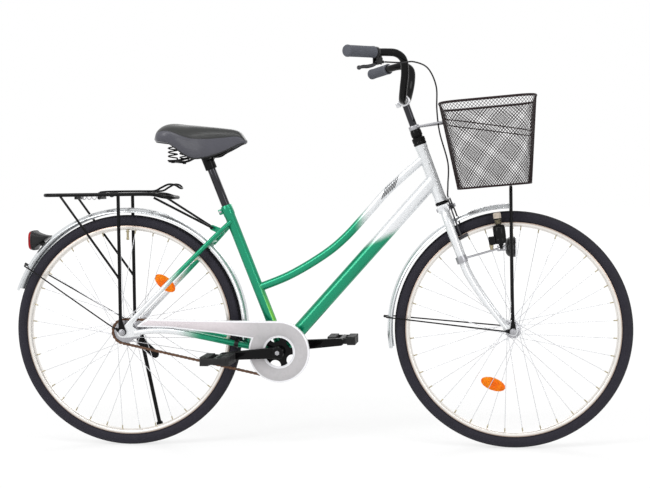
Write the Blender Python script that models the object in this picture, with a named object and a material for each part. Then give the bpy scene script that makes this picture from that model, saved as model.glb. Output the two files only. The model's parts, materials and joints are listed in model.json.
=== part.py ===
"""A city bicycle with a low top tube, rear rack, front basket, lights and a side stand.

+X is forward, +Y is the bike's left side and +Z is up. The origin lies on the ground,
midway between the wheels. Lengths are in metres. The bike stands upright on both wheels
and its side stand, with the steering straight.
"""

import math

import bmesh
import bpy
from mathutils import Matrix, Vector

# Clearance that touching pieces keep, and the running clearance of turning pieces
GAP = 0.0003
RUNNING = 0.0006

# Wheels and tyres
WHEELBASE = 1.156
WHEEL_RADIUS = 0.348
TYRE_HEIGHT = 0.032
TYRE_WIDTH = 0.037
TREAD_WIDTH = 0.015
RIM_WIDTH = 0.024
RIM_DEPTH = 0.014
RIM_WALL = 0.0025
RIM_WELL = 0.0075
SPOKE_COUNT = 36
SPOKE_DIAMETER = 0.002
SPOKE_LEAN = math.radians(58)
WHEEL_SIDES = 28
AXLE_DIAMETER = 0.0094
AXLE_BORE = 0.0108
FLANGE_SPACING = 0.066
FLANGE_THICKNESS = 0.005
FRONT_FLANGE_RADIUS = 0.022
FRONT_HUB_RADIUS = 0.014
REAR_FLANGE_RADIUS = 0.034
REAR_HUB_RADIUS = 0.026
REFLECTOR_LENGTH = 0.075
REFLECTOR_WIDTH = 0.037
REFLECTOR_THICKNESS = 0.006

# Frame
CHAIN_STAY_REACH = 0.470
BOTTOM_BRACKET_DROP = 0.059
SEAT_ANGLE = math.radians(69)
HEAD_ANGLE = math.radians(70.5)
FORK_RAKE = 0.068
SEAT_TUBE_LENGTH = 0.460
SEAT_TUBE_DIAMETER = 0.0318
DOWN_TUBE_DIAMETER = 0.042
DOWN_TUBE_HEAD = 0.468
TOP_TUBE_DIAMETER = 0.0255
TOP_TUBE_SEAT = 0.197
TOP_TUBE_HEAD = 0.540
TOP_TUBE_SAG = 0.043
HEAD_TUBE_START = 0.400
HEAD_TUBE_LENGTH = 0.178
HEAD_TUBE_DIAMETER = 0.035
HEAD_TUBE_BORE = 0.030
SHELL_DIAMETER = 0.042
SHELL_WIDTH = 0.068
SHELL_BORE = 0.0346
CHAIN_STAY_DIAMETER = 0.0185
STAY_TIP_DIAMETER = 0.0145
SEAT_STAY_DIAMETER = 0.014
SEAT_STAY_TOP = 0.412
BRIDGE_DIAMETER = 0.012
DROPOUT_INNER = 0.0585
DROPOUT_THICKNESS = 0.005
DROPOUT_RADIUS = 0.017

# Fork, headset, stem and handlebar
STEERER_DIAMETER = 0.0254
QUILL_DIAMETER = 0.0222
CUP_DIAMETER = 0.039
CUP_HEIGHT = 0.009
LOCK_NUT_HEIGHT = 0.0375
CROWN_HEIGHT = 0.0245
CROWN_DEPTH = 0.034
BLADE_SPREAD = 0.0445
BLADE_DIAMETER = 0.026
BLADE_TIP_DIAMETER = 0.0118
BLADE_BEND = 0.190
FORK_DROPOUT_INNER = 0.0503
STEM_RISE = 0.715
STEM_INSERTION = 0.065
BAR_DIAMETER = 0.0222
GRIP_DIAMETER = 0.033
GRIP_LENGTH = 0.112
GRIP_WALL = 0.004

# Front brake
LEVER_LENGTH = 0.075
LEVER_DROP = 0.028
CABLE_DIAMETER = 0.0045
BRAKE_BOLT_DIAMETER = 0.006
BRAKE_ARM_THICKNESS = 0.0058
BRAKE_ARM_WIDTH = 0.008
PAD_LENGTH = 0.040
PAD_CLEARANCE = 0.002

# Fenders, rack and their wires
FENDER_RADIUS = 0.370
FENDER_WIDTH = 0.050
FENDER_DEPTH = 0.012
FENDER_WALL = 0.0012
STAY_WIRE = 0.0042
EYELET_THICKNESS = 0.0025
RACK_HEIGHT = 0.410
RACK_HALF_WIDTH = 0.0655
RACK_BACK = 0.243
RACK_FRONT = 0.106
RACK_TUBE = 0.011
RACK_LEG = 0.010
RACK_WIRE = 0.007
RACK_EYELET = 0.003
CLAMP_WIRE = 0.006
CLAMP_HINGE = 0.065

# Chain drive
CHAIN_PITCH = 0.0127
CHAINRING_TEETH = 40
SPROCKET_TEETH = 18
CHAIN_LINE = 0.042
CHAIN_WIDTH = 0.009
CHAIN_HEIGHT = 0.0092
CHAIN_WEB = 0.001
TOOTH_THICKNESS = 0.003
CRANK_LENGTH = 0.165
CRANK_TILT = math.radians(4)
CRANK_INNER = 0.064
CRANK_THICKNESS = 0.015
SPINDLE_DIAMETER = 0.017
PEDAL_SPINDLE = 0.011
PEDAL_LENGTH = 0.086
PEDAL_WIDTH = 0.088
PEDAL_HEIGHT = 0.026
GUARD_RADIUS = 0.0905
GUARD_HOLE = 0.044
GUARD_WALL = 0.0015
GUARD_OUTER = 0.060
GUARD_DEPTH = 0.012

# Seat
SEAT_POST_DIAMETER = 0.0254
SEAT_POST_LENGTH = 0.270
SEAT_INSERTION = 0.120
SEAT_DROP = 0.070
SADDLE_LENGTH = 0.267
SADDLE_HALF_WIDTH = 0.100
SADDLE_BASE = 0.0465
SPRING_WIRE = 0.004
SPRING_DIAMETER = 0.030
SPRING_CURLS = 3.25
RAIL_DIAMETER = 0.007
RAIL_SPREAD = 0.022

# Basket, lights and side stand
BASKET_RIM_LENGTH = 0.274
BASKET_FLOOR_LENGTH = 0.210
BASKET_RIM_HALF = 0.170
BASKET_FLOOR_HALF = 0.130
BASKET_DEPTH = 0.248
BASKET_WALL = 0.003
BASKET_TILT = math.radians(4.2)
BASKET_STAY = 0.009
BASKET_HEIGHT = 0.420
HEADLIGHT_DIAMETER = 0.062
HEADLIGHT_DEPTH = 0.036
DYNAMO_DIAMETER = 0.036
DYNAMO_HEIGHT = 0.054
ROLLER_DIAMETER = 0.023
ROLLER_CLEARANCE = 0.008
STAND_LEG_DIAMETER = 0.012
STAND_PLATE = 0.004
STAND_SPREAD = 0.200
NUT_DIAMETER = 0.017
NUT_HEIGHT = 0.008

# Places worked out from the sizes above
REAR = Vector((-WHEELBASE / 2, 0, WHEEL_RADIUS))
FRONT = Vector((WHEELBASE / 2, 0, WHEEL_RADIUS))
BRACKET = REAR + Vector((CHAIN_STAY_REACH, 0, -BOTTOM_BRACKET_DROP))
SEAT_UP = Vector((-math.cos(SEAT_ANGLE), 0, math.sin(SEAT_ANGLE)))
STEER_UP = Vector((-math.cos(HEAD_ANGLE), 0, math.sin(HEAD_ANGLE)))
STEER_AHEAD = Vector((math.sin(HEAD_ANGLE), 0, math.cos(HEAD_ANGLE)))
STEER_BASE = FRONT - Vector((FORK_RAKE / math.sin(HEAD_ANGLE), 0, 0))
LEFT = Vector((0, 1, 0))
UP = Vector((0, 0, 1))
HEAD_TUBE_END = HEAD_TUBE_START + HEAD_TUBE_LENGTH


def rear(ahead, up, left=0.0):
    """A place counted from the rear axle."""
    return REAR + Vector((ahead, left, up))


def front(ahead, up, left=0.0):
    """A place counted from the front axle."""
    return FRONT + Vector((ahead, left, up))


def steer(along, ahead=0.0, left=0.0):
    """A place counted up the steering axis from axle height, and ahead of that axis."""
    return STEER_BASE + STEER_UP * along + STEER_AHEAD * ahead + LEFT * left


# Solids, each as a bmesh in world coordinates


def solid(points, faces):
    shape = bmesh.new()
    corners = [shape.verts.new(point) for point in points]
    for face in faces:
        shape.faces.new([corners[i] for i in face])
    bmesh.ops.recalc_face_normals(shape, faces=shape.faces)
    return shape


def axes_at(origin, up, ahead=None):
    """A matrix whose Z is up and whose X lies as near to ahead as it can."""
    up = up.normalized()
    if ahead is None:
        ahead = Vector((1, 0, 0)) if abs(up.x) < 0.9 else Vector((0, 1, 0))
    across = up.cross(ahead).normalized()
    ahead = across.cross(up)
    turn = Matrix((ahead, across, up)).transposed().to_4x4()
    return Matrix.Translation(origin) @ turn


def rings(sections, joined=False):
    """A skin through closed sections, capped at both ends or joined end to start."""
    count = len(sections[0])
    points = [point for section in sections for point in section]
    faces = []
    for row in range(len(sections) - (0 if joined else 1)):
        after = (row + 1) % len(sections)
        for i in range(count):
            j = (i + 1) % count
            faces.append((row * count + i, row * count + j, after * count + j, after * count + i))
    if not joined:
        faces.append(tuple(range(count)))
        faces.append(tuple((len(sections) - 1) * count + i for i in range(count)))
    return solid(points, faces)


def turned(profile, place, sides, phase=0.0):
    """Spins a profile of (radius, height) about the Z axis of the place matrix."""
    shape = bmesh.new()
    corners = [shape.verts.new((radius, 0, height)) for radius, height in profile]
    edges = [shape.edges.new(pair) for pair in zip(corners, corners[1:])]
    if profile[0][0] > 0 or profile[-1][0] > 0:
        edges.append(shape.edges.new((corners[-1], corners[0])))
    bmesh.ops.spin(
        shape, geom=corners + edges, cent=(0, 0, 0), axis=(0, 0, 1),
        angle=2 * math.pi, steps=sides, use_merge=True,
    )
    bmesh.ops.remove_doubles(shape, verts=shape.verts, dist=1e-6)
    bmesh.ops.recalc_face_normals(shape, faces=shape.faces)
    shape.transform(place @ Matrix.Rotation(phase, 4, "Z"))
    return shape


def rod(start, end, diameter, sides=8, end_diameter=None):
    """A round bar between two places, with flat ends."""
    span = end - start
    shape = bmesh.new()
    bmesh.ops.create_cone(
        shape, cap_ends=True, segments=sides, radius1=diameter / 2,
        radius2=(end_diameter or diameter) / 2, depth=span.length,
    )
    shape.transform(axes_at((start + end) / 2, span))
    return shape


def across_rod(place, low, high, diameter, sides=12):
    """A bar along Y through a place, between two distances to the left of the mid plane."""
    return rod(
        Vector((place.x, low, place.z)), Vector((place.x, high, place.z)), diameter, sides
    )


def tube(points, diameters, resolution=2, closed=False):
    """A round tube along the points, whose diameter may change from point to point."""
    if not isinstance(diameters, (list, tuple)):
        diameters = [diameters] * len(points)
    curve = bpy.data.curves.new("route", "CURVE")
    curve.dimensions = "3D"
    curve.bevel_depth = max(diameters) / 2
    curve.bevel_resolution = resolution
    curve.use_fill_caps = True
    spline = curve.splines.new("POLY")
    spline.points.add(len(points) - 1)
    spline.use_cyclic_u = closed
    for point, place, diameter in zip(spline.points, points, diameters):
        point.co = (*place, 1)
        point.radius = diameter / max(diameters)
    guide = bpy.data.objects.new("route", curve)
    bpy.context.collection.objects.link(guide)
    mesh = evaluated_mesh(guide)
    bpy.data.objects.remove(guide)
    shape = bmesh.new()
    shape.from_mesh(mesh)
    bpy.data.meshes.remove(mesh)
    bmesh.ops.remove_doubles(shape, verts=shape.verts, dist=1e-6)
    bmesh.ops.recalc_face_normals(shape, faces=shape.faces)
    return shape


def prism(outline, place, depth):
    """An outline in the XY plane of the place matrix, raised by depth along its Z."""
    shape = bmesh.new()
    face = shape.faces.new([shape.verts.new((x, y, 0)) for x, y in outline])
    raised = bmesh.ops.extrude_face_region(shape, geom=[face])
    corners = [item for item in raised["geom"] if isinstance(item, bmesh.types.BMVert)]
    bmesh.ops.translate(shape, verts=corners, vec=(0, 0, depth))
    shape.transform(place)
    shape.normal_update()
    bmesh.ops.recalc_face_normals(shape, faces=shape.faces)
    return shape


def side_plate(outline, origin, low, high):
    """A plate in the side view: outline points are (ahead, up) from the origin."""
    place = Matrix(((1, 0, 0, origin.x), (0, 0, 1, low), (0, 1, 0, origin.z), (0, 0, 0, 1)))
    return prism(outline, place, high - low)


def block(centre, size, turn=None, bevel=0.0):
    """A box of a given size, turned by a matrix, with its edges bevelled if asked."""
    shape = bmesh.new()
    bmesh.ops.create_cube(shape, size=1)
    bmesh.ops.scale(shape, vec=size, verts=shape.verts)
    if bevel:
        bmesh.ops.bevel(
            shape, geom=shape.edges, offset=bevel, segments=1, profile=0.5,
            affect="EDGES", material=-1,
        )
    shape.transform(Matrix.Translation(centre) @ (turn or Matrix()))
    return shape


# Outlines and routes


def arc(centre, radius, start, end, steps):
    """Points on an arc, both ends counted."""
    return [
        (
            centre[0] + radius * math.cos(start + (end - start) * i / steps),
            centre[1] + radius * math.sin(start + (end - start) * i / steps),
        )
        for i in range(steps + 1)
    ]


def slot_outline(start, end, start_radius, end_radius, steps=4):
    """The outline round two circles, as of a lug or a link plate."""
    along = math.atan2(end[1] - start[1], end[0] - start[0])
    span = math.dist(start, end)
    lean = math.acos((start_radius - end_radius) / span)
    return arc(end, end_radius, along - lean, along + lean, steps) + arc(
        start, start_radius, along + lean, along + 2 * math.pi - lean, steps
    )


def stroke(path, width):
    """The outline of a bent strip of constant width along a path in the plane."""
    left, right = [], []
    for i, here in enumerate(path):
        before = Vector(here) - Vector(path[max(i - 1, 0)])
        after = Vector(path[min(i + 1, len(path) - 1)]) - Vector(here)
        before = before if i else after
        after = after if i < len(path) - 1 else before
        middle = before.normalized() + after.normalized()
        across = Vector((-middle.y, middle.x))
        across *= width / 2 / across.dot(Vector((-after.y, after.x)).normalized())
        left.append(tuple(Vector(here) + across))
        right.append(tuple(Vector(here) - across))
    return left + right[::-1]


def inset(outline, distance):
    """A closed outline drawn inwards by a distance, its corners kept sharp."""
    area = sum(a[0] * b[1] - b[0] * a[1] for a, b in zip(outline, outline[1:] + outline[:1]))
    sign = 1 if area > 0 else -1
    drawn = []
    for i, here in enumerate(outline):
        before = Vector(here) - Vector(outline[i - 1])
        after = Vector(outline[(i + 1) % len(outline)]) - Vector(here)
        first = Vector((-before.y, before.x)).normalized() * sign
        second = Vector((-after.y, after.x)).normalized() * sign
        middle = first + second
        drawn.append(tuple(Vector(here) + middle * (2 * distance / middle.length_squared)))
    return drawn


def smooth(points, steps, closed=False):
    """A curve through the points, with a number of steps between each two."""
    count = len(points)
    route = []
    for i in range(count if closed else count - 1):
        if closed:
            a, b, c, d = (points[(i + k) % count] for k in (-1, 0, 1, 2))
        else:
            a, b, c, d = (points[min(max(i + k, 0), count - 1)] for k in (-1, 0, 1, 2))
        for step in range(steps):
            t = step / steps
            route.append(
                b + (c - a) * (t / 2)
                + (a * 2 - b * 5 + c * 4 - d) * (t * t / 2)
                + (b * 3 - a - c * 3 + d) * (t * t * t / 2)
            )
    if not closed:
        route.append(points[-1])
    return route


def mirrored(point):
    return Vector((point.x, -point.y, point.z))


# Finished pieces


def evaluated_mesh(item):
    bpy.context.view_layer.update()
    graph = bpy.context.evaluated_depsgraph_get()
    return bpy.data.meshes.new_from_object(item.evaluated_get(graph))


def gathered(shapes):
    """One mesh that holds all the shapes side by side."""
    mesh = bpy.data.meshes.new("shapes")
    both = bmesh.new()
    for shape in shapes:
        shape.to_mesh(mesh)
        both.from_mesh(mesh)
        shape.free()
    both.to_mesh(mesh)
    both.free()
    return mesh


def boolean(mesh, operation, shapes):
    """The mesh joined to the shapes, or with the shapes cut from it."""
    base = bpy.data.objects.new("base", mesh)
    tool = bpy.data.objects.new("tool", gathered(shapes))
    for item in (base, tool):
        bpy.context.collection.objects.link(item)
    change = base.modifiers.new("change", "BOOLEAN")
    change.operation = operation
    change.solver = "EXACT"
    change.use_self = True
    change.object = tool
    result = evaluated_mesh(base)
    for item in (base, tool):
        old = item.data
        bpy.data.objects.remove(item)
        bpy.data.meshes.remove(old)
    return result


def material(name, colour, roughness, metallic=0.0):
    look = bpy.data.materials.new(name)
    look.use_nodes = True
    shader = look.node_tree.nodes["Principled BSDF"]
    shader.inputs["Base Color"].default_value = (*colour, 1)
    shader.inputs["Roughness"].default_value = roughness
    shader.inputs["Metallic"].default_value = metallic
    look.diffuse_color = (*colour, 1)
    return look


def joint_axis(name, place, carrier=None):
    """An empty on a joint's axis, which carries all that moves with the joint."""
    empty = bpy.data.objects.new(name, None)
    empty.empty_display_size = 0.05
    bpy.context.collection.objects.link(empty)
    empty.parent = carrier
    empty["place"] = place
    empty.location = place - (Vector(carrier["place"]) if carrier else Vector())
    return empty


def piece(name, shapes, look, carrier=None, cuts=()):
    """One named sub-part: its shapes joined, its holes cut, carried by a joint's empty."""
    shapes = list(shapes)
    mesh = gathered(shapes[:1])
    if shapes[1:]:
        mesh = boolean(mesh, "UNION", shapes[1:])
    if cuts:
        mesh = boolean(mesh, "DIFFERENCE", list(cuts))
    mesh.name = name
    mesh.materials.clear()
    mesh.materials.append(look)
    mesh.shade_smooth()
    mesh.set_sharp_from_angle(angle=math.radians(35))
    if carrier:
        mesh.transform(Matrix.Translation(-Vector(carrier["place"])))
    item = bpy.data.objects.new(name, mesh)
    bpy.context.collection.objects.link(item)
    item.parent = carrier
    return item


for old_item in list(bpy.data.objects):
    bpy.data.objects.remove(old_item)

GREEN = material("green_paint", (0.01, 0.30, 0.12), 0.3)
SILVER = material("silver_paint", (0.75, 0.76, 0.78), 0.3, 0.6)
BLACK = material("black_paint", (0.02, 0.02, 0.022), 0.4)
CHROME = material("chrome", (0.8, 0.8, 0.82), 0.15, 1.0)
STEEL = material("bright_steel", (0.6, 0.6, 0.62), 0.35, 1.0)
RUBBER = material("dark_rubber", (0.03, 0.03, 0.04), 0.8)
GRIP_RUBBER = material("grip_rubber", (0.09, 0.09, 0.10), 0.6)
VINYL = material("saddle_vinyl", (0.07, 0.07, 0.08), 0.55)
LILAC = material("lilac_plastic", (0.62, 0.55, 0.62), 0.3)
BLACK_PLASTIC = material("black_plastic", (0.03, 0.03, 0.03), 0.5)
CREAM = material("cream_plastic", (0.75, 0.66, 0.42), 0.5)
ORANGE = material("orange_reflector", (1.0, 0.25, 0.0), 0.2)
RED = material("red_lens", (0.55, 0.01, 0.02), 0.15)
CLEAR = material("clear_lens", (0.85, 0.88, 0.9), 0.1)
CHAIN_STEEL = material("chain_steel", (0.13, 0.08, 0.05), 0.45, 0.8)

STEERING = joint_axis("steering_axis", STEER_BASE)
FRONT_WHEEL = joint_axis("front_wheel_axis", FRONT, STEERING)
REAR_WHEEL = joint_axis("rear_wheel_axis", REAR)
CRANK = joint_axis("crank_axis", BRACKET)
SPROCKET = joint_axis("sprocket_axis", REAR)


# Wheels

RIM_RADIUS = WHEEL_RADIUS - TYRE_HEIGHT
RIM_INNER = RIM_RADIUS - RIM_DEPTH
SPOKE_ROOT = 0.003
SPOKE_STAGGER = 0.0015
SPOKE_TIP = RIM_INNER - GAP - SPOKE_DIAMETER * 0.3


def wheel_place(centre):
    """Z along the axle, to the left."""
    return Matrix(((1, 0, 0, centre.x), (0, 0, 1, centre.y), (0, -1, 0, centre.z), (0, 0, 0, 1)))


def both_sides(half):
    """A half profile of (radius, height) and its mirror image, as one closed profile."""
    return half + [(radius, -height) for radius, height in reversed(half)]


def wheel_ring(profile, centre):
    """Turned so that a flat facet, not a corner, meets the ground."""
    stretch = 1 / math.cos(math.pi / WHEEL_SIDES)
    flat = [(radius * stretch, height) for radius, height in profile]
    return turned(flat, wheel_place(centre), WHEEL_SIDES, math.pi / 2 + math.pi / WHEEL_SIDES)


def tyre(name, centre, carrier):
    seat = RIM_WIDTH / 2 - RIM_WALL - GAP
    half = [
        (RIM_RADIUS - RIM_WELL + GAP, seat),
        (RIM_RADIUS + 2 * GAP, seat),
        (RIM_RADIUS + TYRE_HEIGHT * 0.40, TYRE_WIDTH * 0.5),
        (RIM_RADIUS + TYRE_HEIGHT * 0.77, TYRE_WIDTH * 0.43),
        (WHEEL_RADIUS, TREAD_WIDTH / 2),
    ]
    piece(name, [wheel_ring(both_sides(half), centre)], RUBBER, carrier)


def rim(name, centre, carrier):
    inside = RIM_WIDTH / 2 - RIM_WALL
    half = [
        (RIM_RADIUS - RIM_WELL, inside),
        (RIM_RADIUS, inside),
        (RIM_RADIUS, RIM_WIDTH / 2),
        (RIM_INNER + RIM_DEPTH * 0.3, RIM_WIDTH / 2),
        (RIM_INNER, RIM_WIDTH * 0.29),
    ]
    piece(name, [wheel_ring(both_sides(half), centre)], STEEL, carrier)


def spoke_share(radius, flange_radius):
    """How far along its length a spoke reaches a distance from the axle, from 0 to 1."""
    root = flange_radius - SPOKE_ROOT
    across = root * SPOKE_TIP * math.cos(SPOKE_LEAN)
    a = root ** 2 + SPOKE_TIP ** 2 - 2 * across
    b = 2 * (across - root ** 2)
    c = root ** 2 - radius ** 2
    return (math.sqrt(b * b - 4 * a * c) - b) / (2 * a)


def spoke_side(share, leading):
    """How far a spoke lies from the wheel's mid plane, at a share of its length."""
    step = SPOKE_STAGGER if leading else -SPOKE_STAGGER
    at_root = FLANGE_SPACING / 2 + step
    at_tip = 0.003 + step * 0.7
    return at_root + (at_tip - at_root) * share


def spokes(centre, flange_radius):
    """Half of the spokes on each flange, leaning forward and backward by turns."""
    step = 2 * math.pi / SPOKE_COUNT
    shapes = []
    for i in range(SPOKE_COUNT):
        side = 1 if i % 2 else -1
        leading = (i // 2) % 2 == 0
        tip_angle = (i + 0.5) * step
        root_angle = tip_angle + (SPOKE_LEAN if leading else -SPOKE_LEAN)
        ends = []
        for radius, angle, share in (
            (flange_radius - SPOKE_ROOT, root_angle, 0), (SPOKE_TIP, tip_angle, 1)
        ):
            left = side * spoke_side(share, leading)
            ends.append(
                centre + Vector((radius * math.cos(angle), left, radius * math.sin(angle)))
            )
        shapes.append(rod(ends[0], ends[1], SPOKE_DIAMETER, 3))
    return shapes


def hub(name, centre, hub_radius, flange_radius, carrier):
    """Hub shell with two flanges, a bore for the axle, and its spokes."""
    outer = FLANGE_SPACING / 2 + FLANGE_THICKNESS / 2
    inner = outer - FLANGE_THICKNESS
    half = [
        (AXLE_BORE / 2, outer),
        (flange_radius, outer),
        (flange_radius, inner),
        (hub_radius, inner - 0.002),
    ]
    shell = turned(both_sides(half), wheel_place(centre), 12)
    piece(name, [shell] + spokes(centre, flange_radius), STEEL, carrier)


def reflector(name, centre, angle, radius, leading, flange_radius, carrier):
    """An oval reflector clipped behind the near spokes, square to the wheel's radius."""
    seat = SPOKE_DIAMETER * (0.45 if leading else 0.74)
    low, middle, high = (
        spoke_side(spoke_share(radius + step, flange_radius), leading)
        for step in (-REFLECTOR_WIDTH / 2, 0, REFLECTOR_WIDTH / 2)
    )
    slope = (high - low) / REFLECTOR_WIDTH
    face = middle - seat
    outward = Vector((math.cos(angle), 0, math.sin(angle)))
    radial = (outward - LEFT * slope).normalized()
    place = centre + outward * radius - LEFT * face
    inward = radial.cross(Vector((-outward.z, 0, outward.x))).normalized()
    if inward.y < 0:
        inward = -inward
    outline = [
        (REFLECTOR_WIDTH / 2 * math.cos(a), REFLECTOR_LENGTH / 2 * math.sin(a))
        for a in (2 * math.pi * i / 16 for i in range(16))
    ]
    plate = prism(outline, axes_at(place, inward, radial), REFLECTOR_THICKNESS)
    piece(name, [plate], ORANGE, carrier)


FRONT_REFLECTOR_ANGLE = math.radians(249.6)
FRONT_REFLECTOR_RADIUS = 0.170
REAR_REFLECTOR_ANGLE = math.radians(50.6)
REAR_REFLECTOR_RADIUS = 0.183


def wheels():
    tyre("front_tyre", FRONT, FRONT_WHEEL)
    rim("front_rim", FRONT, FRONT_WHEEL)
    hub("front_hub", FRONT, FRONT_HUB_RADIUS, FRONT_FLANGE_RADIUS, FRONT_WHEEL)
    reflector(
        "front_reflector", FRONT, FRONT_REFLECTOR_ANGLE, FRONT_REFLECTOR_RADIUS,
        True, FRONT_FLANGE_RADIUS, FRONT_WHEEL,
    )
    tyre("rear_tyre", REAR, REAR_WHEEL)
    rim("rear_rim", REAR, REAR_WHEEL)
    hub("rear_hub", REAR, REAR_HUB_RADIUS, REAR_FLANGE_RADIUS, REAR_WHEEL)
    reflector(
        "rear_reflector", REAR, REAR_REFLECTOR_ANGLE, REAR_REFLECTOR_RADIUS,
        False, REAR_FLANGE_RADIUS, REAR_WHEEL,
    )



# The fenders follow the wheels in straight steps between these angles

REAR_FENDER_START = math.radians(-4.5)
REAR_FENDER_END = math.radians(160)
FRONT_FENDER_START = math.radians(90.5)
FRONT_FENDER_END = math.radians(188.5)
FENDER_STEP = math.radians(10)


def on_rear_fender(angle):
    """How far the rear fender's crown lies from the axle at an angle."""
    turn = REAR_FENDER_END - REAR_FENDER_START
    step = turn / round(turn / FENDER_STEP)
    from_middle = (angle - REAR_FENDER_START) % step - step / 2
    return FENDER_RADIUS * math.cos(step / 2) / math.cos(from_middle)


# Frame

SEAT_AHEAD = Vector((math.sin(SEAT_ANGLE), 0, math.cos(SEAT_ANGLE)))
SEAT_TUBE_TOP = BRACKET + SEAT_UP * SEAT_TUBE_LENGTH
CLAMP_BOLT = SEAT_TUBE_TOP - SEAT_UP * 0.010 - SEAT_AHEAD * (SEAT_TUBE_DIAMETER / 2 + 0.005)
DROPOUT_OUTER = DROPOUT_INNER + DROPOUT_THICKNESS
STAY_LEFT = DROPOUT_INNER + DROPOUT_THICKNESS / 2 - 0.0005
SEAT_STAY_START = rear(0.007, 0.014)
SEAT_STAY_END = BRACKET + SEAT_UP * SEAT_STAY_TOP
CHAIN_STAY_POINTS = [
    BRACKET + Vector((-0.020, 0.022, 0.004)),
    REAR + Vector((CHAIN_STAY_REACH * 0.79, 0.0315, -BOTTOM_BRACKET_DROP * 0.76)),
    REAR + Vector((CHAIN_STAY_REACH * 0.32, 0.0505, 0.001)),
    REAR + Vector((0.036, STAY_LEFT, -0.002)),
]


def seat_stay(share, left=0.0):
    """A place in the side view along the seat stays, from the dropout to the seat tube."""
    return SEAT_STAY_START.lerp(SEAT_STAY_END, share) + LEFT * left


SEAT_STAY_POINTS = [
    seat_stay(0.06, STAY_LEFT),
    seat_stay(0.45, STAY_LEFT - 0.005),
    seat_stay(0.82, FENDER_WIDTH / 2 + SEAT_STAY_DIAMETER / 2 + 0.006),
    seat_stay(1.0, 0.012),
]
RACK_TAB = rear(0.262, 0.307)
STRUT_PIN = 0.006


def axes_of(up, ahead):
    """The turn alone of axes_at, for blocks."""
    return axes_at(Vector(), up, ahead)


def frame():
    """Tubes, stays, dropouts, bridges and the lugs for the rack strut and the seat bolt."""
    joint = BRACKET + SEAT_UP * TOP_TUBE_SEAT
    chord = steer(TOP_TUBE_HEAD) - joint
    below = Vector((chord.z, 0, -chord.x)).normalized()
    bend = ((0.16, 0.66), (0.34, 1.0), (0.47, 0.97), (0.62, 0.62), (0.78, 0.20))
    top_tube = [joint]
    top_tube += [joint + chord * t + below * (TOP_TUBE_SAG * depth) for t, depth in bend]
    top_tube.append(steer(TOP_TUBE_HEAD))
    down_axis = (steer(DOWN_TUBE_HEAD) - BRACKET).normalized()
    towards_bridge = (seat_stay(0.82) - REAR).normalized()
    crown = on_rear_fender(math.atan2(towards_bridge.z, towards_bridge.x))
    bridge = REAR + towards_bridge * (crown + 2 * GAP + BRIDGE_DIAMETER / 2)
    upper_bridge = seat_stay(0.90)
    shapes = [
        across_rod(BRACKET, -SHELL_WIDTH / 2, SHELL_WIDTH / 2, SHELL_DIAMETER, 14),
        rod(BRACKET + SEAT_UP * 0.010, SEAT_TUBE_TOP, SEAT_TUBE_DIAMETER, 12),
        rod(BRACKET + down_axis * 0.008, steer(DOWN_TUBE_HEAD), DOWN_TUBE_DIAMETER, 12),
        rod(steer(HEAD_TUBE_START), steer(HEAD_TUBE_END), HEAD_TUBE_DIAMETER, 12),
        tube(smooth(top_tube, 2), TOP_TUBE_DIAMETER, 2),
        across_rod(bridge, -0.040, 0.040, BRIDGE_DIAMETER, 6),
        across_rod(upper_bridge, -0.026, 0.026, 0.010, 6),
        side_plate(
            slot_outline(
                (0, 0), ((RACK_TAB - upper_bridge).x, (RACK_TAB - upper_bridge).z), 0.009, 0.008
            ),
            upper_bridge, -0.003, 0.003,
        ),
        block(
            CLAMP_BOLT + SEAT_AHEAD * 0.002, (0.016, 0.016, 0.016), axes_of(SEAT_UP, SEAT_AHEAD)
        ),
    ]
    plate = arc((0, 0), DROPOUT_RADIUS, math.radians(80), math.radians(280), 7) + [
        (0.052, -0.013), (0.052, 0.004), (0.030, 0.016), (0.050, 0.045), (0.040, 0.055)
    ]
    taper = [CHAIN_STAY_DIAMETER] * 3 + [STAY_TIP_DIAMETER]
    for side in (1, -1):
        turn = (lambda point: point) if side > 0 else mirrored
        lower = [turn(point) for point in CHAIN_STAY_POINTS]
        upper = [turn(point) for point in SEAT_STAY_POINTS]
        shapes.append(tube(lower, taper, 2))
        shapes.append(tube(upper, SEAT_STAY_DIAMETER, 2))
        ends = sorted((side * DROPOUT_INNER, side * DROPOUT_OUTER))
        shapes.append(side_plate(plate, REAR, *ends))
    fender_stop = rear(FENDER_RADIUS + GAP + 0.003, -BOTTOM_BRACKET_DROP * 0.76 + 0.016)
    shapes.append(block(fender_stop, (0.006, 0.060, 0.036)))
    cuts = [
        across_rod(REAR, -0.1, 0.1, AXLE_BORE),
        across_rod(BRACKET, -0.06, 0.06, SHELL_BORE, 14),
        rod(steer(HEAD_TUBE_START - 0.02), steer(HEAD_TUBE_END + 0.02), HEAD_TUBE_BORE, 12),
        rod(
            SEAT_TUBE_TOP - SEAT_UP * (SEAT_INSERTION + SEAT_DROP + 0.012),
            SEAT_TUBE_TOP + SEAT_UP * 0.02, SEAT_POST_DIAMETER + 4 * GAP, 14,
        ),
        block(
            SEAT_TUBE_TOP - SEAT_UP * 0.012 - SEAT_AHEAD * 0.022, (0.036, 0.0018, 0.034),
            axes_of(SEAT_UP, SEAT_AHEAD),
        ),
        across_rod(CLAMP_BOLT, -0.02, 0.02, 0.0056, 8),
        across_rod(RACK_TAB, -0.02, 0.02, STRUT_PIN + 3 * GAP, 8),
    ]
    piece("frame", shapes, GREEN, None, cuts)
    head = 0.008 + GAP
    piece(
        "seat_bolt",
        [
            across_rod(CLAMP_BOLT, -head - 0.003, head + 0.003, 0.005, 8),
            across_rod(CLAMP_BOLT, head, head + 0.0035, 0.0095, 6),
            across_rod(CLAMP_BOLT, -head - 0.0035, -head, 0.0095, 6),
        ],
        STEEL,
    )


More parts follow.
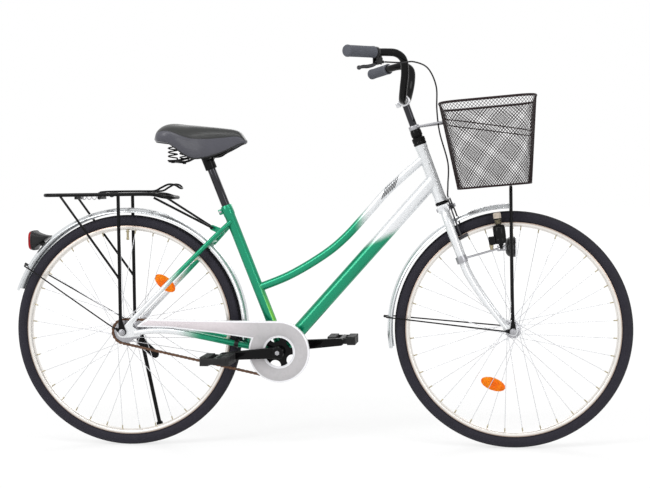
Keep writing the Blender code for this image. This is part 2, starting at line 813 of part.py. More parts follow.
def cup(name, origin, up):
    """A headset cup: a lip pressed into the head tube and a wider ring on its end."""
    inside = STEERER_DIAMETER / 2 + RUNNING + GAP
    profile = [
        (inside, -0.008), (HEAD_TUBE_BORE / 2 - 3 * GAP, -0.008),
        (HEAD_TUBE_BORE / 2 - 3 * GAP, GAP), (CUP_DIAMETER / 2, GAP),
        (CUP_DIAMETER / 2, CUP_HEIGHT), (inside, CUP_HEIGHT),
    ]
    piece(name, [turned(profile, axes_at(origin, up), 10)], STEEL)


def bearings():
    cup("upper_headset_cup", steer(HEAD_TUBE_END), STEER_UP)
    cup("lower_headset_cup", steer(HEAD_TUBE_START), -STEER_UP)
    half = [
        (SPINDLE_DIAMETER / 2 + RUNNING + GAP, SHELL_WIDTH / 2 + 0.004),
        (SHELL_DIAMETER / 2 - 0.001, SHELL_WIDTH / 2 + 0.004),
        (SHELL_DIAMETER / 2 - 0.001, SHELL_WIDTH / 2 + GAP),
        (SHELL_BORE / 2 - 2 * GAP, SHELL_WIDTH / 2 + GAP),
    ]
    piece(
        "bottom_bracket_cartridge", [turned(both_sides(half), wheel_place(BRACKET), 10)], STEEL
    )


# Fork

CROWN_TOP = HEAD_TUBE_START - CUP_HEIGHT - RUNNING
CROWN_START = CROWN_TOP - CROWN_HEIGHT
CROWN_MIDDLE = CROWN_TOP - CROWN_HEIGHT / 2
FORK_DROPOUT = 0.005
FORK_DROPOUT_MIDDLE = FORK_DROPOUT_INNER + FORK_DROPOUT / 2
BLADE_TIP = -0.012
NUT_START = HEAD_TUBE_END + CUP_HEIGHT + RUNNING
STEERER_END = NUT_START + LOCK_NUT_HEIGHT - 0.012


def blade_ahead(along):
    """How far a blade has swept forward of the steering axis."""
    if along >= BLADE_BEND:
        return 0.0
    return (FORK_RAKE - 0.015) * ((BLADE_BEND - along) / (BLADE_BEND - BLADE_TIP)) ** 1.35


def blade_left(along):
    return FORK_DROPOUT_MIDDLE + (BLADE_SPREAD - FORK_DROPOUT_MIDDLE) * along / 0.30


def fork():
    """Steerer, crown, two swept blades and their dropouts."""
    shapes = [
        rod(steer(CROWN_START + 0.004), steer(STEERER_END), STEERER_DIAMETER, 12),
        block(
            steer(CROWN_MIDDLE), (CROWN_DEPTH, 0.066, CROWN_HEIGHT),
            axes_of(STEER_UP, STEER_AHEAD),
        ),
    ]
    steps = 7
    heights = [0.30 + (BLADE_TIP - 0.30) * i / steps for i in range(steps + 1)]
    widths = [BLADE_DIAMETER, BLADE_DIAMETER, BLADE_DIAMETER]
    widths += [
        BLADE_DIAMETER + (BLADE_TIP_DIAMETER - BLADE_DIAMETER) * i / (steps - 1)
        for i in range(steps)
    ]
    for side in (1, -1):
        route = [steer(CROWN_MIDDLE, 0, side * 0.018), steer(CROWN_START - 0.016, 0, side * 0.041)]
        route += [steer(s, blade_ahead(s), side * blade_left(s)) for s in heights]
        shapes.append(tube(route, widths, 2))
        tip = steer(BLADE_TIP, blade_ahead(BLADE_TIP)) - FRONT
        ends = sorted((side * FORK_DROPOUT_INNER, side * (FORK_DROPOUT_INNER + FORK_DROPOUT)))
        outline = slot_outline((0, 0), (tip.x * 1.2, tip.z + 0.006), 0.013, 0.009)
        shapes.append(side_plate(outline, FRONT, *ends))
    cuts = [
        across_rod(FRONT, -0.1, 0.1, AXLE_BORE),
        rod(
            steer(STEERER_END - STEM_INSERTION - 0.010), steer(STEERER_END + 0.02),
            QUILL_DIAMETER + 4 * GAP, 12,
        ),
        rod(
            steer(CROWN_MIDDLE, -0.05), steer(CROWN_MIDDLE, 0.05),
            BRAKE_BOLT_DIAMETER + 3 * GAP, 8,
        ),
    ]
    piece("fork", shapes, SILVER, STEERING, cuts)


def headset_nut():
    """Cone and lock nut round the top of the steerer."""
    inside = STEERER_DIAMETER / 2 + 2 * GAP
    top = LOCK_NUT_HEIGHT
    profile = [
        (inside, 0), (CUP_DIAMETER / 2, 0), (CUP_DIAMETER / 2, top * 0.33),
        (CUP_DIAMETER / 2 - 0.003, top * 0.45), (CUP_DIAMETER / 2 - 0.003, top * 0.88),
        (inside + 0.002, top), (inside, top),
    ]
    place = axes_at(steer(NUT_START), STEER_UP)
    piece("headset_nut", [turned(profile, place, 12)], BLACK, STEERING)


# Stem, handlebar and grips

BAR_CENTRE = steer(STEM_RISE)
GRIP_START = BAR_CENTRE + Vector((-0.055, 0.198, 0.1205))
GRIP_END = BAR_CENTRE + Vector((-0.123, 0.295, 0.114))
GRIP_ALONG = (GRIP_END - GRIP_START).normalized()
PERCH_WIDTH = 0.010
GRIP_OFFSET = 0.020
BAR_ROUTE = [
    (0, 0.070, 0), (0.006, 0.105, 0.030), (0.012, 0.125, 0.07),
    (0.010, 0.145, 0.105), (-0.008, 0.163, 0.121), (-0.034, 0.180, 0.1225),
]


def stem():
    """A quill in the steerer and a clamp round the bar, with its binder lug and top bolt."""
    inside = BAR_DIAMETER / 2 + 2 * GAP
    profile = both_sides([(inside, 0.020), (0.0165, 0.020)])
    ring = turned(profile, wheel_place(BAR_CENTRE), 14)
    bottom = STEERER_END - STEM_INSERTION
    shapes = [
        ring,
        rod(steer(bottom), steer(STEM_RISE - inside - 0.001), QUILL_DIAMETER, 12),
        block(
            steer(STEM_RISE - 0.004, -0.021), (0.014, 0.022, 0.016),
            axes_of(STEER_UP, STEER_AHEAD),
        ),
        rod(steer(STEM_RISE + 0.0155), steer(STEM_RISE + 0.021), 0.012, 8),
    ]
    piece("stem", shapes, CHROME, STEERING)


def bar_and_grips():
    points = [BAR_CENTRE + Vector(point) for point in BAR_ROUTE] + [GRIP_START]
    left = smooth([mirrored(points[0])] + points, 2)[1:]
    end = GRIP_START + GRIP_ALONG * (GRIP_OFFSET + GRIP_LENGTH - GRIP_WALL - 0.001)
    left.append(end)
    right = [mirrored(point) for point in reversed(left)]
    piece("handlebar", [tube(right + left, BAR_DIAMETER, 2)], BLACK, STEERING)
    inside = BAR_DIAMETER / 2 + 2 * GAP
    outside = GRIP_DIAMETER / 2
    profile = [
        (0, GRIP_LENGTH), (outside - 0.004, GRIP_LENGTH), (outside, GRIP_LENGTH - 0.006),
        (outside, 0.003), (outside - 0.002, 0), (inside, 0),
        (inside, GRIP_LENGTH - GRIP_WALL), (0, GRIP_LENGTH - GRIP_WALL),
    ]
    for name, turn in (("grip_left", Vector), ("grip_right", mirrored)):
        start = turn(GRIP_START + GRIP_ALONG * GRIP_OFFSET)
        place = axes_at(start, turn(GRIP_ALONG))
        piece(name, [turned(profile, place, 12)], GRIP_RUBBER, STEERING)


# Right brake lever, cable and front rim brake

LEVER_ALONG = mirrored(GRIP_ALONG)
LEVER_AXIS = LEVER_ALONG.cross(UP).normalized()
LEVER_PIVOT = mirrored(GRIP_START) + LEVER_ALONG * 0.006 - UP * LEVER_DROP
LEVER = joint_axis("brake_lever_axis", LEVER_PIVOT, STEERING)
LEVER_BOSS = 0.010
CHEEK = 0.003


def lever_place(along, down, across=0.0):
    return LEVER_PIVOT + LEVER_ALONG * along - UP * down + LEVER_AXIS * across


def brake_lever():
    """Perch with two cheeks and a pin, and the lever that swings between them."""
    ring_place = axes_at(mirrored(GRIP_START) + LEVER_ALONG * 0.007, LEVER_ALONG)
    inside = BAR_DIAMETER / 2 + 2 * GAP
    ring = turned(
        [(inside, 0), (0.0155, 0), (0.0155, PERCH_WIDTH), (inside, PERCH_WIDTH)], ring_place, 12
    )
    shapes = [ring]
    for side in (1, -1):
        middle = side * (LEVER_BOSS / 2 + GAP + CHEEK / 2)
        shapes.append(
            block(
                lever_place(-0.001, -0.007, middle), (0.020, CHEEK, 0.026),
                axes_of(UP, LEVER_ALONG),
            )
        )
    reach = LEVER_BOSS / 2 + GAP + CHEEK
    shapes.append(rod(lever_place(0, 0, -reach), lever_place(0, 0, reach), 0.005, 8))
    shapes.append(
        block(
            lever_place(-0.0125, -0.005), (0.004, 2 * reach, 0.016), axes_of(UP, LEVER_ALONG)
        )
    )
    shapes.append(rod(lever_place(-0.012, -0.002), lever_place(-0.026, -0.002), 0.009, 8))
    bar = [mirrored(GRIP_START) + LEVER_ALONG * along for along in (-0.01, 0.03)]
    bore = rod(*bar, 2 * inside, 12)
    piece("brake_lever_perch", shapes, BLACK_PLASTIC, STEERING, [bore])
    blade = [
        lever_place(0, 0.001), lever_place(0.018, 0.008), lever_place(0.040, 0.012),
        lever_place(0.060, 0.013), lever_place(LEVER_LENGTH, 0.016),
    ]
    boss = LEVER_BOSS / 2
    shapes = [
        rod(lever_place(0, 0, -boss), lever_place(0, 0, boss), 0.014, 12),
        tube(blade, [0.008, 0.009, 0.009, 0.009, 0.008], 2),
        tube(
            [lever_place(LEVER_LENGTH + step, 0.016) for step in (-0.006, -0.003, 0.003, 0.006)],
            [0.007, 0.013, 0.013, 0.007], 2,
        ),
    ]
    pin = rod(lever_place(0, 0, -0.02), lever_place(0, 0, 0.02), 0.0062, 8)
    piece("brake_lever", shapes, STEEL, LEVER, [pin])


CABLE_START = lever_place(-0.026 - 4 * GAP, -0.002)
CABLE_END = steer(CROWN_TOP + 0.0135, 0.0245, -0.014)
CABLE_ROUTE = [
    CABLE_START,
    CABLE_START - LEVER_ALONG * 0.010,
    BAR_CENTRE + Vector((0.006, -0.168, 0.094)),
    BAR_CENTRE + Vector((0.040, -0.145, 0.098)),
    BAR_CENTRE + Vector((0.076, -0.102, 0.084)),
    BAR_CENTRE + Vector((0.097, -0.062, 0.036)),
    BAR_CENTRE + Vector((0.097, -0.038, -0.030)),
    steer(0.590, 0.066, -0.028),
    steer(0.500, 0.058, -0.018),
    steer(CROWN_TOP + 0.050, 0.036, -0.0145),
    steer(CROWN_TOP + 0.022, 0.0250, -0.014),
    CABLE_END,
]


def brake_cable():
    route = smooth(CABLE_ROUTE, 3)
    piece("brake_cable", [tube(route, CABLE_DIAMETER, 1)], BLACK_PLASTIC, STEERING)


ARM_FRONT = CROWN_DEPTH / 2 + 0.0015
BRAKE_PIVOT = steer(CROWN_MIDDLE, ARM_FRONT)
RIGHT_ARM = joint_axis("caliper_right_axis", BRAKE_PIVOT, STEERING)
LEFT_ARM = joint_axis("caliper_left_axis", BRAKE_PIVOT, STEERING)
PAD_RADIUS = RIM_RADIUS - RIM_WELL + 0.0005
BRAKE_STEP = 0.0006


def caliper():
    """The brake bolt through the crown and the two arms that close on the rim."""
    reach = ARM_FRONT + 2 * BRAKE_ARM_THICKNESS + 3 * GAP
    bolt = [
        rod(
            steer(CROWN_MIDDLE, -CROWN_DEPTH / 2 - 0.006), steer(CROWN_MIDDLE, reach + 0.002),
            BRAKE_BOLT_DIAMETER, 8,
        ),
        rod(
            steer(CROWN_MIDDLE, -CROWN_DEPTH / 2 - 0.005),
            steer(CROWN_MIDDLE, -CROWN_DEPTH / 2 - GAP), 0.011, 6,
        ),
        rod(steer(CROWN_MIDDLE, reach), steer(CROWN_MIDDLE, reach + 0.005), 0.011, 6),
        rod(
            steer(CROWN_MIDDLE, CROWN_DEPTH / 2 + GAP), steer(CROWN_MIDDLE, ARM_FRONT - GAP),
            0.014, 8,
        ),
    ]
    piece("caliper_bolt", bolt, STEEL, STEERING)
    for name, side, layer, carrier in (
        ("caliper_arm_right", -1, 0, RIGHT_ARM), ("caliper_arm_left", 1, 1, LEFT_ARM)
    ):
        start = ARM_FRONT + layer * (BRAKE_ARM_THICKNESS + GAP)
        middle = start + BRAKE_ARM_THICKNESS / 2
        drop = math.sqrt(PAD_RADIUS ** 2 - (FORK_RAKE - middle) ** 2)
        pad_along = drop - FORK_RAKE / math.tan(HEAD_ANGLE)
        pad_left = RIM_WIDTH / 2 + PAD_CLEARANCE
        outside = FENDER_WIDTH / 2 + 0.011
        path = [
            (CROWN_TOP + 0.010, -0.014), (CROWN_MIDDLE, 0), (CROWN_MIDDLE - 0.004, side * 0.022),
            (CROWN_MIDDLE - 0.018, side * outside), (pad_along + 0.030, side * outside),
            (pad_along + 0.004, side * (pad_left + 0.010)),
        ]
        place = axes_at(steer(0, start + BRAKE_STEP), STEER_AHEAD, LEFT)
        outline = stroke([(left, along) for along, left in path], BRAKE_ARM_WIDTH)
        shapes = [
            rod(
                steer(CROWN_MIDDLE, start), steer(CROWN_MIDDLE, start + BRAKE_ARM_THICKNESS),
                0.018, 12,
            ),
            prism(outline, place, BRAKE_ARM_THICKNESS - 2 * BRAKE_STEP),
        ]
        outward = (steer(pad_along, middle) - FRONT).normalized()
        pad = steer(pad_along, middle, side * (pad_left + 0.005))
        shapes.append(
            block(pad, (PAD_LENGTH, 0.010, 0.010), axes_of(outward, LEFT.cross(outward)), 0.001)
        )
        bore = rod(
            steer(CROWN_MIDDLE, start - 0.01), steer(CROWN_MIDDLE, start + 0.02),
            BRAKE_BOLT_DIAMETER + 3 * GAP, 8,
        )
        piece(name, shapes, STEEL, carrier, [bore])


# Fenders and their stays


def fender_section(width, radius, inward):
    """Half of a fender's outer or inner line, from its middle to its edge."""
    return [
        (0, radius), (width / 2 * 0.76 - inward * 0.4, radius - FENDER_DEPTH * 0.22),
        (width / 2 - inward, radius - FENDER_DEPTH + inward),
    ]


def fender_shell(centre, start, end):
    """A thin channel bent round a wheel between two angles."""
    outer = fender_section(FENDER_WIDTH, FENDER_RADIUS, 0)
    inner = fender_section(FENDER_WIDTH, FENDER_RADIUS - FENDER_WALL, FENDER_WALL)
    outline = [(-y, r) for y, r in reversed(outer[1:])] + outer
    outline += list(reversed(inner)) + [(-y, r) for y, r in inner[1:]]
    steps = round((end - start) / FENDER_STEP)
    sections = []
    for i in range(steps + 1):
        angle = start + (end - start) * i / steps
        out = Vector((math.cos(angle), 0, math.sin(angle)))
        sections.append([centre + out * radius + LEFT * left for left, radius in outline])
    return rings(sections)


def fender_stay(name, centre, angle, eyelet_inner, carrier):
    """A wire from an eyelet on the axle round the outside of the fender and back."""
    out = Vector((math.cos(angle), 0, math.sin(angle)))
    wire = STAY_WIRE / 2
    eyelet_outer = eyelet_inner + EYELET_THICKNESS
    middle = eyelet_outer + 0.0006
    edge = FENDER_WIDTH / 2 + wire + 2 * GAP
    over = FENDER_RADIUS + wire + 2 * GAP
    half = [
        (0.0150, middle), (0.060, middle + 0.001), (FENDER_RADIUS - 0.050, edge + 0.004),
        (FENDER_RADIUS - FENDER_DEPTH, edge + 0.0012), (over - 0.0035, edge),
        (over - 0.0005, edge - 0.004), (over, edge - 0.010),
    ]
    route = [centre + out * radius + LEFT * left for radius, left in half]
    route += [mirrored(point) for point in reversed(route)]
    shapes = [tube(route, STAY_WIRE, 1)]
    for side in (1, -1):
        tab = slot_outline((0, 0), (out.x * 0.020, out.z * 0.020), 0.009, 0.0035, 3)
        ends = sorted((side * eyelet_inner, side * eyelet_outer))
        shapes.append(side_plate(tab, centre, *ends))
    shapes.append(rod(centre + out * (over - 0.001), centre + out * (over + 0.010), 0.008, 6))
    bore = across_rod(centre, -0.1, 0.1, AXLE_BORE)
    piece(name, shapes, BLACK, carrier, [bore])


# Stacks of washers and eyelets on the two axles, counted outwards from the dropouts
FRONT_STAY_EYELET = FORK_DROPOUT_INNER + FORK_DROPOUT + GAP
FRONT_FENDER_EYELET = FRONT_STAY_EYELET + RACK_EYELET + GAP
FRONT_NUT = FRONT_FENDER_EYELET + EYELET_THICKNESS + GAP
RACK_EYELET_INNER = DROPOUT_OUTER + GAP
REAR_FENDER_EYELET = RACK_EYELET_INNER + RACK_EYELET + GAP
REAR_NUT = REAR_FENDER_EYELET + EYELET_THICKNESS + GAP
STAND_INNER = REAR_NUT
LEFT_NUT = STAND_INNER + STAND_PLATE + GAP
HUB_FACE = FLANGE_SPACING / 2 + FLANGE_THICKNESS / 2
DRIVER_INNER = HUB_FACE + GAP
DRIVER_OUTER = CHAIN_LINE + TOOTH_THICKNESS / 2 + 0.001
ARM_OUTER = HUB_FACE + GAP + 0.003


def fenders():
    bracket = rod(steer(CROWN_START - 0.0272), steer(CROWN_START - GAP), 0.012, 8)
    shell = fender_shell(FRONT, FRONT_FENDER_START, FRONT_FENDER_END)
    piece("front_fender", [shell, bracket], SILVER, STEERING)
    piece("rear_fender", [fender_shell(REAR, REAR_FENDER_START, REAR_FENDER_END)], SILVER)
    fender_stay(
        "front_fender_stay", FRONT, math.radians(174), FRONT_FENDER_EYELET, STEERING
    )
    fender_stay("rear_fender_stay", REAR, math.radians(148), REAR_FENDER_EYELET, None)


def axles():
    """Each axle with its cones and nuts as one turned group."""
    end = FRONT_NUT + NUT_HEIGHT + 0.003
    shapes = [across_rod(FRONT, -end, end, AXLE_DIAMETER, 8)]
    for side in (1, -1):
        for low, high, sides in (
            (HUB_FACE + GAP, FORK_DROPOUT_INNER - GAP, 8),
            (FRONT_NUT, FRONT_NUT + NUT_HEIGHT, 6),
        ):
            shapes.append(
                across_rod(FRONT, *sorted((side * low, side * high)), NUT_DIAMETER, sides)
            )
    piece("front_axle", shapes, STEEL, STEERING)
    right_end, left_end = -REAR_NUT - NUT_HEIGHT - 0.003, LEFT_NUT + NUT_HEIGHT + 0.003
    shapes = [across_rod(REAR, right_end, left_end, AXLE_DIAMETER, 8)]
    for low, high, sides in (
        (-DROPOUT_INNER + GAP, -DRIVER_OUTER - GAP, 8),
        (ARM_OUTER + GAP, DROPOUT_INNER - GAP, 8),
        (-REAR_NUT - NUT_HEIGHT, -REAR_NUT, 6),
        (LEFT_NUT, LEFT_NUT + NUT_HEIGHT, 6),
    ):
        shapes.append(across_rod(REAR, low, high, NUT_DIAMETER, sides))
    piece("rear_axle", shapes, STEEL)


def coaster_arm():
    """The coaster brake's reaction arm, from the left hub face to the chain stay."""
    plate = side_plate(
        slot_outline((0, 0), (CHAIN_STAY_REACH * 0.36, 0.001), 0.019, 0.009), REAR,
        HUB_FACE + GAP, ARM_OUTER,
    )
    piece("coaster_arm", [plate], STEEL, None, [across_rod(REAR, 0, 0.1, AXLE_BORE)])


# Rack

RACK_TOP = RACK_HEIGHT + RACK_TUBE / 2
RACK_LEG_AHEAD = -0.005
CLAMP = joint_axis("rack_clamp_axis", rear(-CLAMP_HINGE, RACK_HEIGHT))
HINGE_BAR = 0.008
SPRING_HOOK_BACK = -0.148
SPRING_HOOK_FRONT = -0.080
CLAMP_SPRING_DROP = 0.0095


def rack():
    """Platform loop, cross bars, legs with eyelets, diagonals and the spring's two lugs."""
    back = -RACK_BACK + RACK_TUBE / 2
    half = [
        (RACK_FRONT + 0.044, RACK_HEIGHT - 0.011, 0.018),
        (RACK_FRONT + 0.040, RACK_HEIGHT - 0.011, 0.036),
        (RACK_FRONT + 0.020, RACK_HEIGHT - 0.008, 0.053),
        (RACK_FRONT - 0.002, RACK_HEIGHT - 0.002, RACK_HALF_WIDTH - 0.003),
        (RACK_FRONT - 0.030, RACK_HEIGHT, RACK_HALF_WIDTH),
        (back + 0.030, RACK_HEIGHT, RACK_HALF_WIDTH),
        (back + 0.009, RACK_HEIGHT, RACK_HALF_WIDTH - 0.008),
        (back, RACK_HEIGHT, RACK_HALF_WIDTH - 0.030),
    ]
    loop = [rear(*point) for point in half]
    loop += [mirrored(point) for point in reversed(loop)]
    shapes = [tube(loop, RACK_TUBE, 1, closed=True)]
    for ahead, width in (
        (-0.150, RACK_WIRE), (-CLAMP_HINGE, HINGE_BAR), (RACK_LEG_AHEAD, RACK_WIRE),
        (RACK_FRONT - 0.028, RACK_WIRE),
    ):
        middle = rear(ahead, RACK_HEIGHT)
        shapes.append(across_rod(middle, -RACK_HALF_WIDTH, RACK_HALF_WIDTH, width, 6))
    for side in (1, -1):
        left = side * RACK_HALF_WIDTH / 3
        height = RACK_TOP - RACK_WIRE / 2 - 0.0005
        wire = rod(rear(back, height, left), rear(RACK_FRONT - 0.026, height, left), RACK_WIRE, 6)
        # A sixth of a turn over two lays a flat of the wire uppermost
        centre = Matrix.Translation(rear(0, height, left))
        wire.transform(centre @ Matrix.Rotation(math.pi / 6, 4, "X") @ centre.inverted())
        shapes.append(wire)
        leg = side * (RACK_EYELET_INNER + RACK_EYELET / 2)
        knee = rear(RACK_LEG_AHEAD, 0.158, side * RACK_HALF_WIDTH)
        shapes.append(
            tube(
                [
                    rear(RACK_LEG_AHEAD, 0.026, leg), knee,
                    rear(RACK_LEG_AHEAD, RACK_HEIGHT, side * RACK_HALF_WIDTH),
                ],
                RACK_LEG, 1,
            )
        )
        shapes.append(rod(knee, rear(-0.185, RACK_HEIGHT, side * RACK_HALF_WIDTH), RACK_WIRE, 6))
        ends = sorted((side * RACK_EYELET_INNER, side * (RACK_EYELET_INNER + RACK_EYELET)))
        outline = slot_outline((0, 0), (RACK_LEG_AHEAD, 0.034), 0.011, 0.006)
        shapes.append(side_plate(outline, REAR, *ends))
    for ahead in (SPRING_HOOK_BACK - 0.002, SPRING_HOOK_FRONT + 0.002):
        low = rear(ahead, RACK_HEIGHT - CLAMP_SPRING_DROP - 0.004)
        shapes.append(block(low + UP * 0.008, (0.004, RACK_HALF_WIDTH, 0.016)))
    piece("rack", shapes, BLACK, None, [across_rod(REAR, -0.1, 0.1, AXLE_BORE)])


def rack_clamp():
    """Spring clamp: two eyes on the hinge bar and one wire round to the front handle."""
    eye = RACK_HALF_WIDTH - 0.016
    rest = RACK_TOP + CLAMP_WIRE / 2 + 2 * GAP
    half = [
        (-CLAMP_HINGE, rest - 0.002, eye), (-CLAMP_HINGE + 0.03, rest, eye - 0.003),
        (RACK_FRONT - 0.004, rest, 0.038), (RACK_FRONT + 0.016, rest + 0.006, 0.035),
        (RACK_FRONT + 0.034, rest + 0.010, 0.031), (RACK_FRONT + 0.052, rest + 0.008, 0.024),
        (RACK_FRONT + 0.062, rest + 0.001, 0.012),
    ]
    route = [rear(*point) for point in half]
    route += [mirrored(point) for point in reversed(route)]
    shapes = [tube(route, CLAMP_WIRE, 1)]
    hinge = rear(-CLAMP_HINGE, RACK_HEIGHT)
    for side in (1, -1):
        ends = sorted((side * (eye - 0.003), side * (eye + 0.003)))
        shapes.append(across_rod(hinge, *ends, 0.017, 10))
    bore = across_rod(hinge, -0.1, 0.1, HINGE_BAR + 0.0012, 10)
    piece("rack_clamp", shapes, BLACK, CLAMP, [bore])


def coil(start, along, wire, diameter, curls, length, sides=8):
    """A coil's centre line with straight ends, and the least gap between its turns."""
    place = axes_at(start, along)
    radius = (diameter - wire) / 2
    steps = round(curls * sides)
    rise = length - 2 * wire
    points = [(radius, 0, 0)]
    for i in range(steps + 1):
        angle = 2 * math.pi * curls * i / steps
        points.append((radius * math.cos(angle), radius * math.sin(angle), wire + rise * i / steps))
    points.append((points[-1][0], points[-1][1], length))
    turns = [place @ Vector(point) for point in points]
    apart = [
        (turns[i] - turns[j]).length
        for i in range(len(turns)) for j in range(i + sides // 2, len(turns))
    ]
    print("least gap between the turns of a spring:", round(min(apart) - wire, 4), "m")
    return turns


def rack_spring():
    """The clamp's draw spring, between the two lugs under the platform."""
    length = SPRING_HOOK_FRONT - SPRING_HOOK_BACK - 2 * GAP
    start = rear(SPRING_HOOK_BACK + GAP, RACK_HEIGHT - CLAMP_SPRING_DROP)
    turns = coil(start, Vector((1, 0, 0)), 0.002, 0.012, 4, length, 8)
    piece("rack_clamp_spring", [tube(turns, 0.002, 1)], STEEL)


def rack_strut():
    """Two arms from under the front of the rack, pinned to the frame's tab."""
    high = RACK_HEIGHT - RACK_TUBE / 2 - 0.0052
    shapes = [across_rod(RACK_TAB, -0.012, 0.012, STRUT_PIN, 8)]
    for side in (1, -1):
        shapes.append(
            rod(
                rear(RACK_FRONT - 0.004, high, side * (RACK_HALF_WIDTH - 0.004)),
                RACK_TAB + LEFT * side * 0.008, RACK_WIRE, 6,
            )
        )
    piece("rack_strut", shapes, BLACK)


def tail_light():
    """Wedge housing on a foot on the fender, with the lens across its back."""
    lens = [(-0.292, 0.244), (-0.300, 0.250), (-0.300, 0.297), (-0.296, 0.303), (-0.292, 0.303)]
    housing = [
        (-0.292 + GAP, 0.244), (-0.292 + GAP, 0.303), (-0.268, 0.296), (-0.243, 0.291),
        (-0.243, 0.284),
    ]
    angle = math.radians(135.4)
    foot = Vector((math.cos(angle), 0, math.sin(angle)))
    crown = on_rear_fender(angle)
    piece("tail_light_lens", [side_plate(lens, REAR, -0.033, 0.033)], RED)
    shapes = [
        side_plate(housing, REAR, -0.033, 0.033),
        rod(REAR + foot * (crown + 2 * GAP), REAR + foot * (crown + 0.013), 0.016, 8),
    ]
    piece("tail_light_housing", shapes, BLACK_PLASTIC)


# Chain drive

RING_RADIUS = CHAIN_PITCH / 2 / math.sin(math.pi / CHAINRING_TEETH)
SPROCKET_RADIUS = CHAIN_PITCH / 2 / math.sin(math.pi / SPROCKET_TEETH)


def toothed(radius, teeth):
    """The outline of a chain wheel with plain pointed teeth."""
    outline = []
    for i in range(teeth):
        middle = 2 * math.pi * (i + 0.25) / teeth
        for step, change in ((-0.5, -0.0035), (0.0, 0.0026)):
            angle = middle + step * 2 * math.pi / teeth
            edge = radius + change
            outline.append((edge * math.cos(angle), edge * math.sin(angle)))
    return outline


def chain():
    """The closed run of chain: outer web over the teeth and plates on both sides."""
    span = BRACKET - REAR
    tilt = math.atan2(span.z, span.x)
    lean = math.acos((SPROCKET_RADIUS - RING_RADIUS) / span.length)
    stations = []
    for centre, radius, start, end, steps in (
        (REAR, SPROCKET_RADIUS, tilt + lean, tilt + 2 * math.pi - lean, 8),
        (BRACKET, RING_RADIUS, tilt - lean, tilt + lean, 13),
    ):
        for i in range(steps + 1):
            angle = start + (end - start) * i / steps
            stations.append((centre, radius, Vector((math.cos(angle), 0, math.sin(angle)))))
    inside = TOOTH_THICKNESS / 2 + GAP
    high, low = CHAIN_HEIGHT / 2, -CHAIN_HEIGHT / 2
    section = [
        (low, -CHAIN_WIDTH / 2), (low, -inside), (high - CHAIN_WEB, -inside),
        (high - CHAIN_WEB, inside), (low, inside), (low, CHAIN_WIDTH / 2),
        (high, CHAIN_WIDTH / 2), (high, -CHAIN_WIDTH / 2),
    ]
    sections = [
        [centre + out * (radius + step) + LEFT * (left - CHAIN_LINE) for step, left in section]
        for centre, radius, out in stations
    ]
    piece("chain", [rings(sections, joined=True)], CHAIN_STEEL)


def chain_guard():
    """A dished cover over the outer side of the chain, with a clip on the chain stay."""
    span = CHAIN_STAY_REACH
    outline = arc((0, 0), GUARD_RADIUS, math.radians(154), math.radians(450), 16)
    outline += [(0.070 - span, 0.099), (0.040 - span, 0.0745), (0.140 - span, 0.0715)]
    low, high = -GUARD_OUTER, -GUARD_OUTER + GUARD_DEPTH
    first, second = (mirrored(point) for point in CHAIN_STAY_POINTS[1:3])
    stay = first.lerp(second, 0.15)
    ring = CHAIN_STAY_DIAMETER / 2 + 3 * GAP
    ahead, tail = Vector(outline[0]), Vector(outline[-1])
    share = (stay.x - BRACKET.x - ahead.x) / (tail.x - ahead.x)
    under = ahead.lerp(tail, share).y + GUARD_WALL / 2
    edge = Vector((stay.x, high - 0.003, BRACKET.z + under))
    clip = [(ring, -0.006), (ring + 0.0025, -0.006), (ring + 0.0025, 0.006), (ring, 0.006)]
    shapes = [
        side_plate(outline, BRACKET, low, high),
        turned(clip, axes_at(stay, second - first), 10),
        rod(Vector((stay.x, stay.y - 0.004, stay.z + ring + 0.0005)), edge, 0.006, 6),
    ]
    cuts = [
        side_plate(inset(outline, GUARD_WALL), BRACKET, low + GUARD_WALL, high + 0.02),
        across_rod(BRACKET, -0.08, 0, 2 * GUARD_HOLE, 16),
    ]
    guard = boolean(gathered(shapes[:1]), "DIFFERENCE", cuts)
    hollow = bmesh.new()
    hollow.from_mesh(guard)
    piece("chain_guard", [hollow] + shapes[1:], LILAC)


def sprocket():
    plate = side_plate(
        toothed(SPROCKET_RADIUS, SPROCKET_TEETH), REAR,
        -CHAIN_LINE - TOOTH_THICKNESS / 2, -CHAIN_LINE + TOOTH_THICKNESS / 2,
    )
    driver = across_rod(REAR, -DRIVER_OUTER, -DRIVER_INNER, 0.034, 10)
    bore = across_rod(REAR, -0.1, 0, AXLE_BORE)
    piece("rear_sprocket", [plate, driver], STEEL, SPROCKET, [bore])


CRANK_AHEAD = Vector((math.cos(CRANK_TILT), 0, math.sin(CRANK_TILT)))
LEFT_PEDAL = joint_axis(
    "pedal_left_axis", BRACKET + CRANK_AHEAD * CRANK_LENGTH, CRANK
)
RIGHT_PEDAL = joint_axis(
    "pedal_right_axis", BRACKET - CRANK_AHEAD * CRANK_LENGTH, CRANK
)
CRANK_OUTER = CRANK_INNER + CRANK_THICKNESS
PEDAL_INNER = CRANK_OUTER + 0.010


def crank_arm(side):
    """One arm from boss to pedal eye, with the pedal's spindle."""
    end = BRACKET + CRANK_AHEAD * (side * CRANK_LENGTH)
    span = end - BRACKET
    ends = sorted((side * CRANK_INNER, side * CRANK_OUTER))
    reach = side * (PEDAL_INNER + PEDAL_WIDTH - 0.006)
    collar = PEDAL_INNER - GAP
    return [
        side_plate(slot_outline((0, 0), (span.x, span.z), 0.0165, 0.0115, 5), BRACKET, *ends),
        across_rod(end, *sorted((side * CRANK_INNER, reach)), PEDAL_SPINDLE, 10),
        across_rod(end, *sorted((side * (CRANK_OUTER - 0.001), side * collar)), 0.016, 10),
    ]


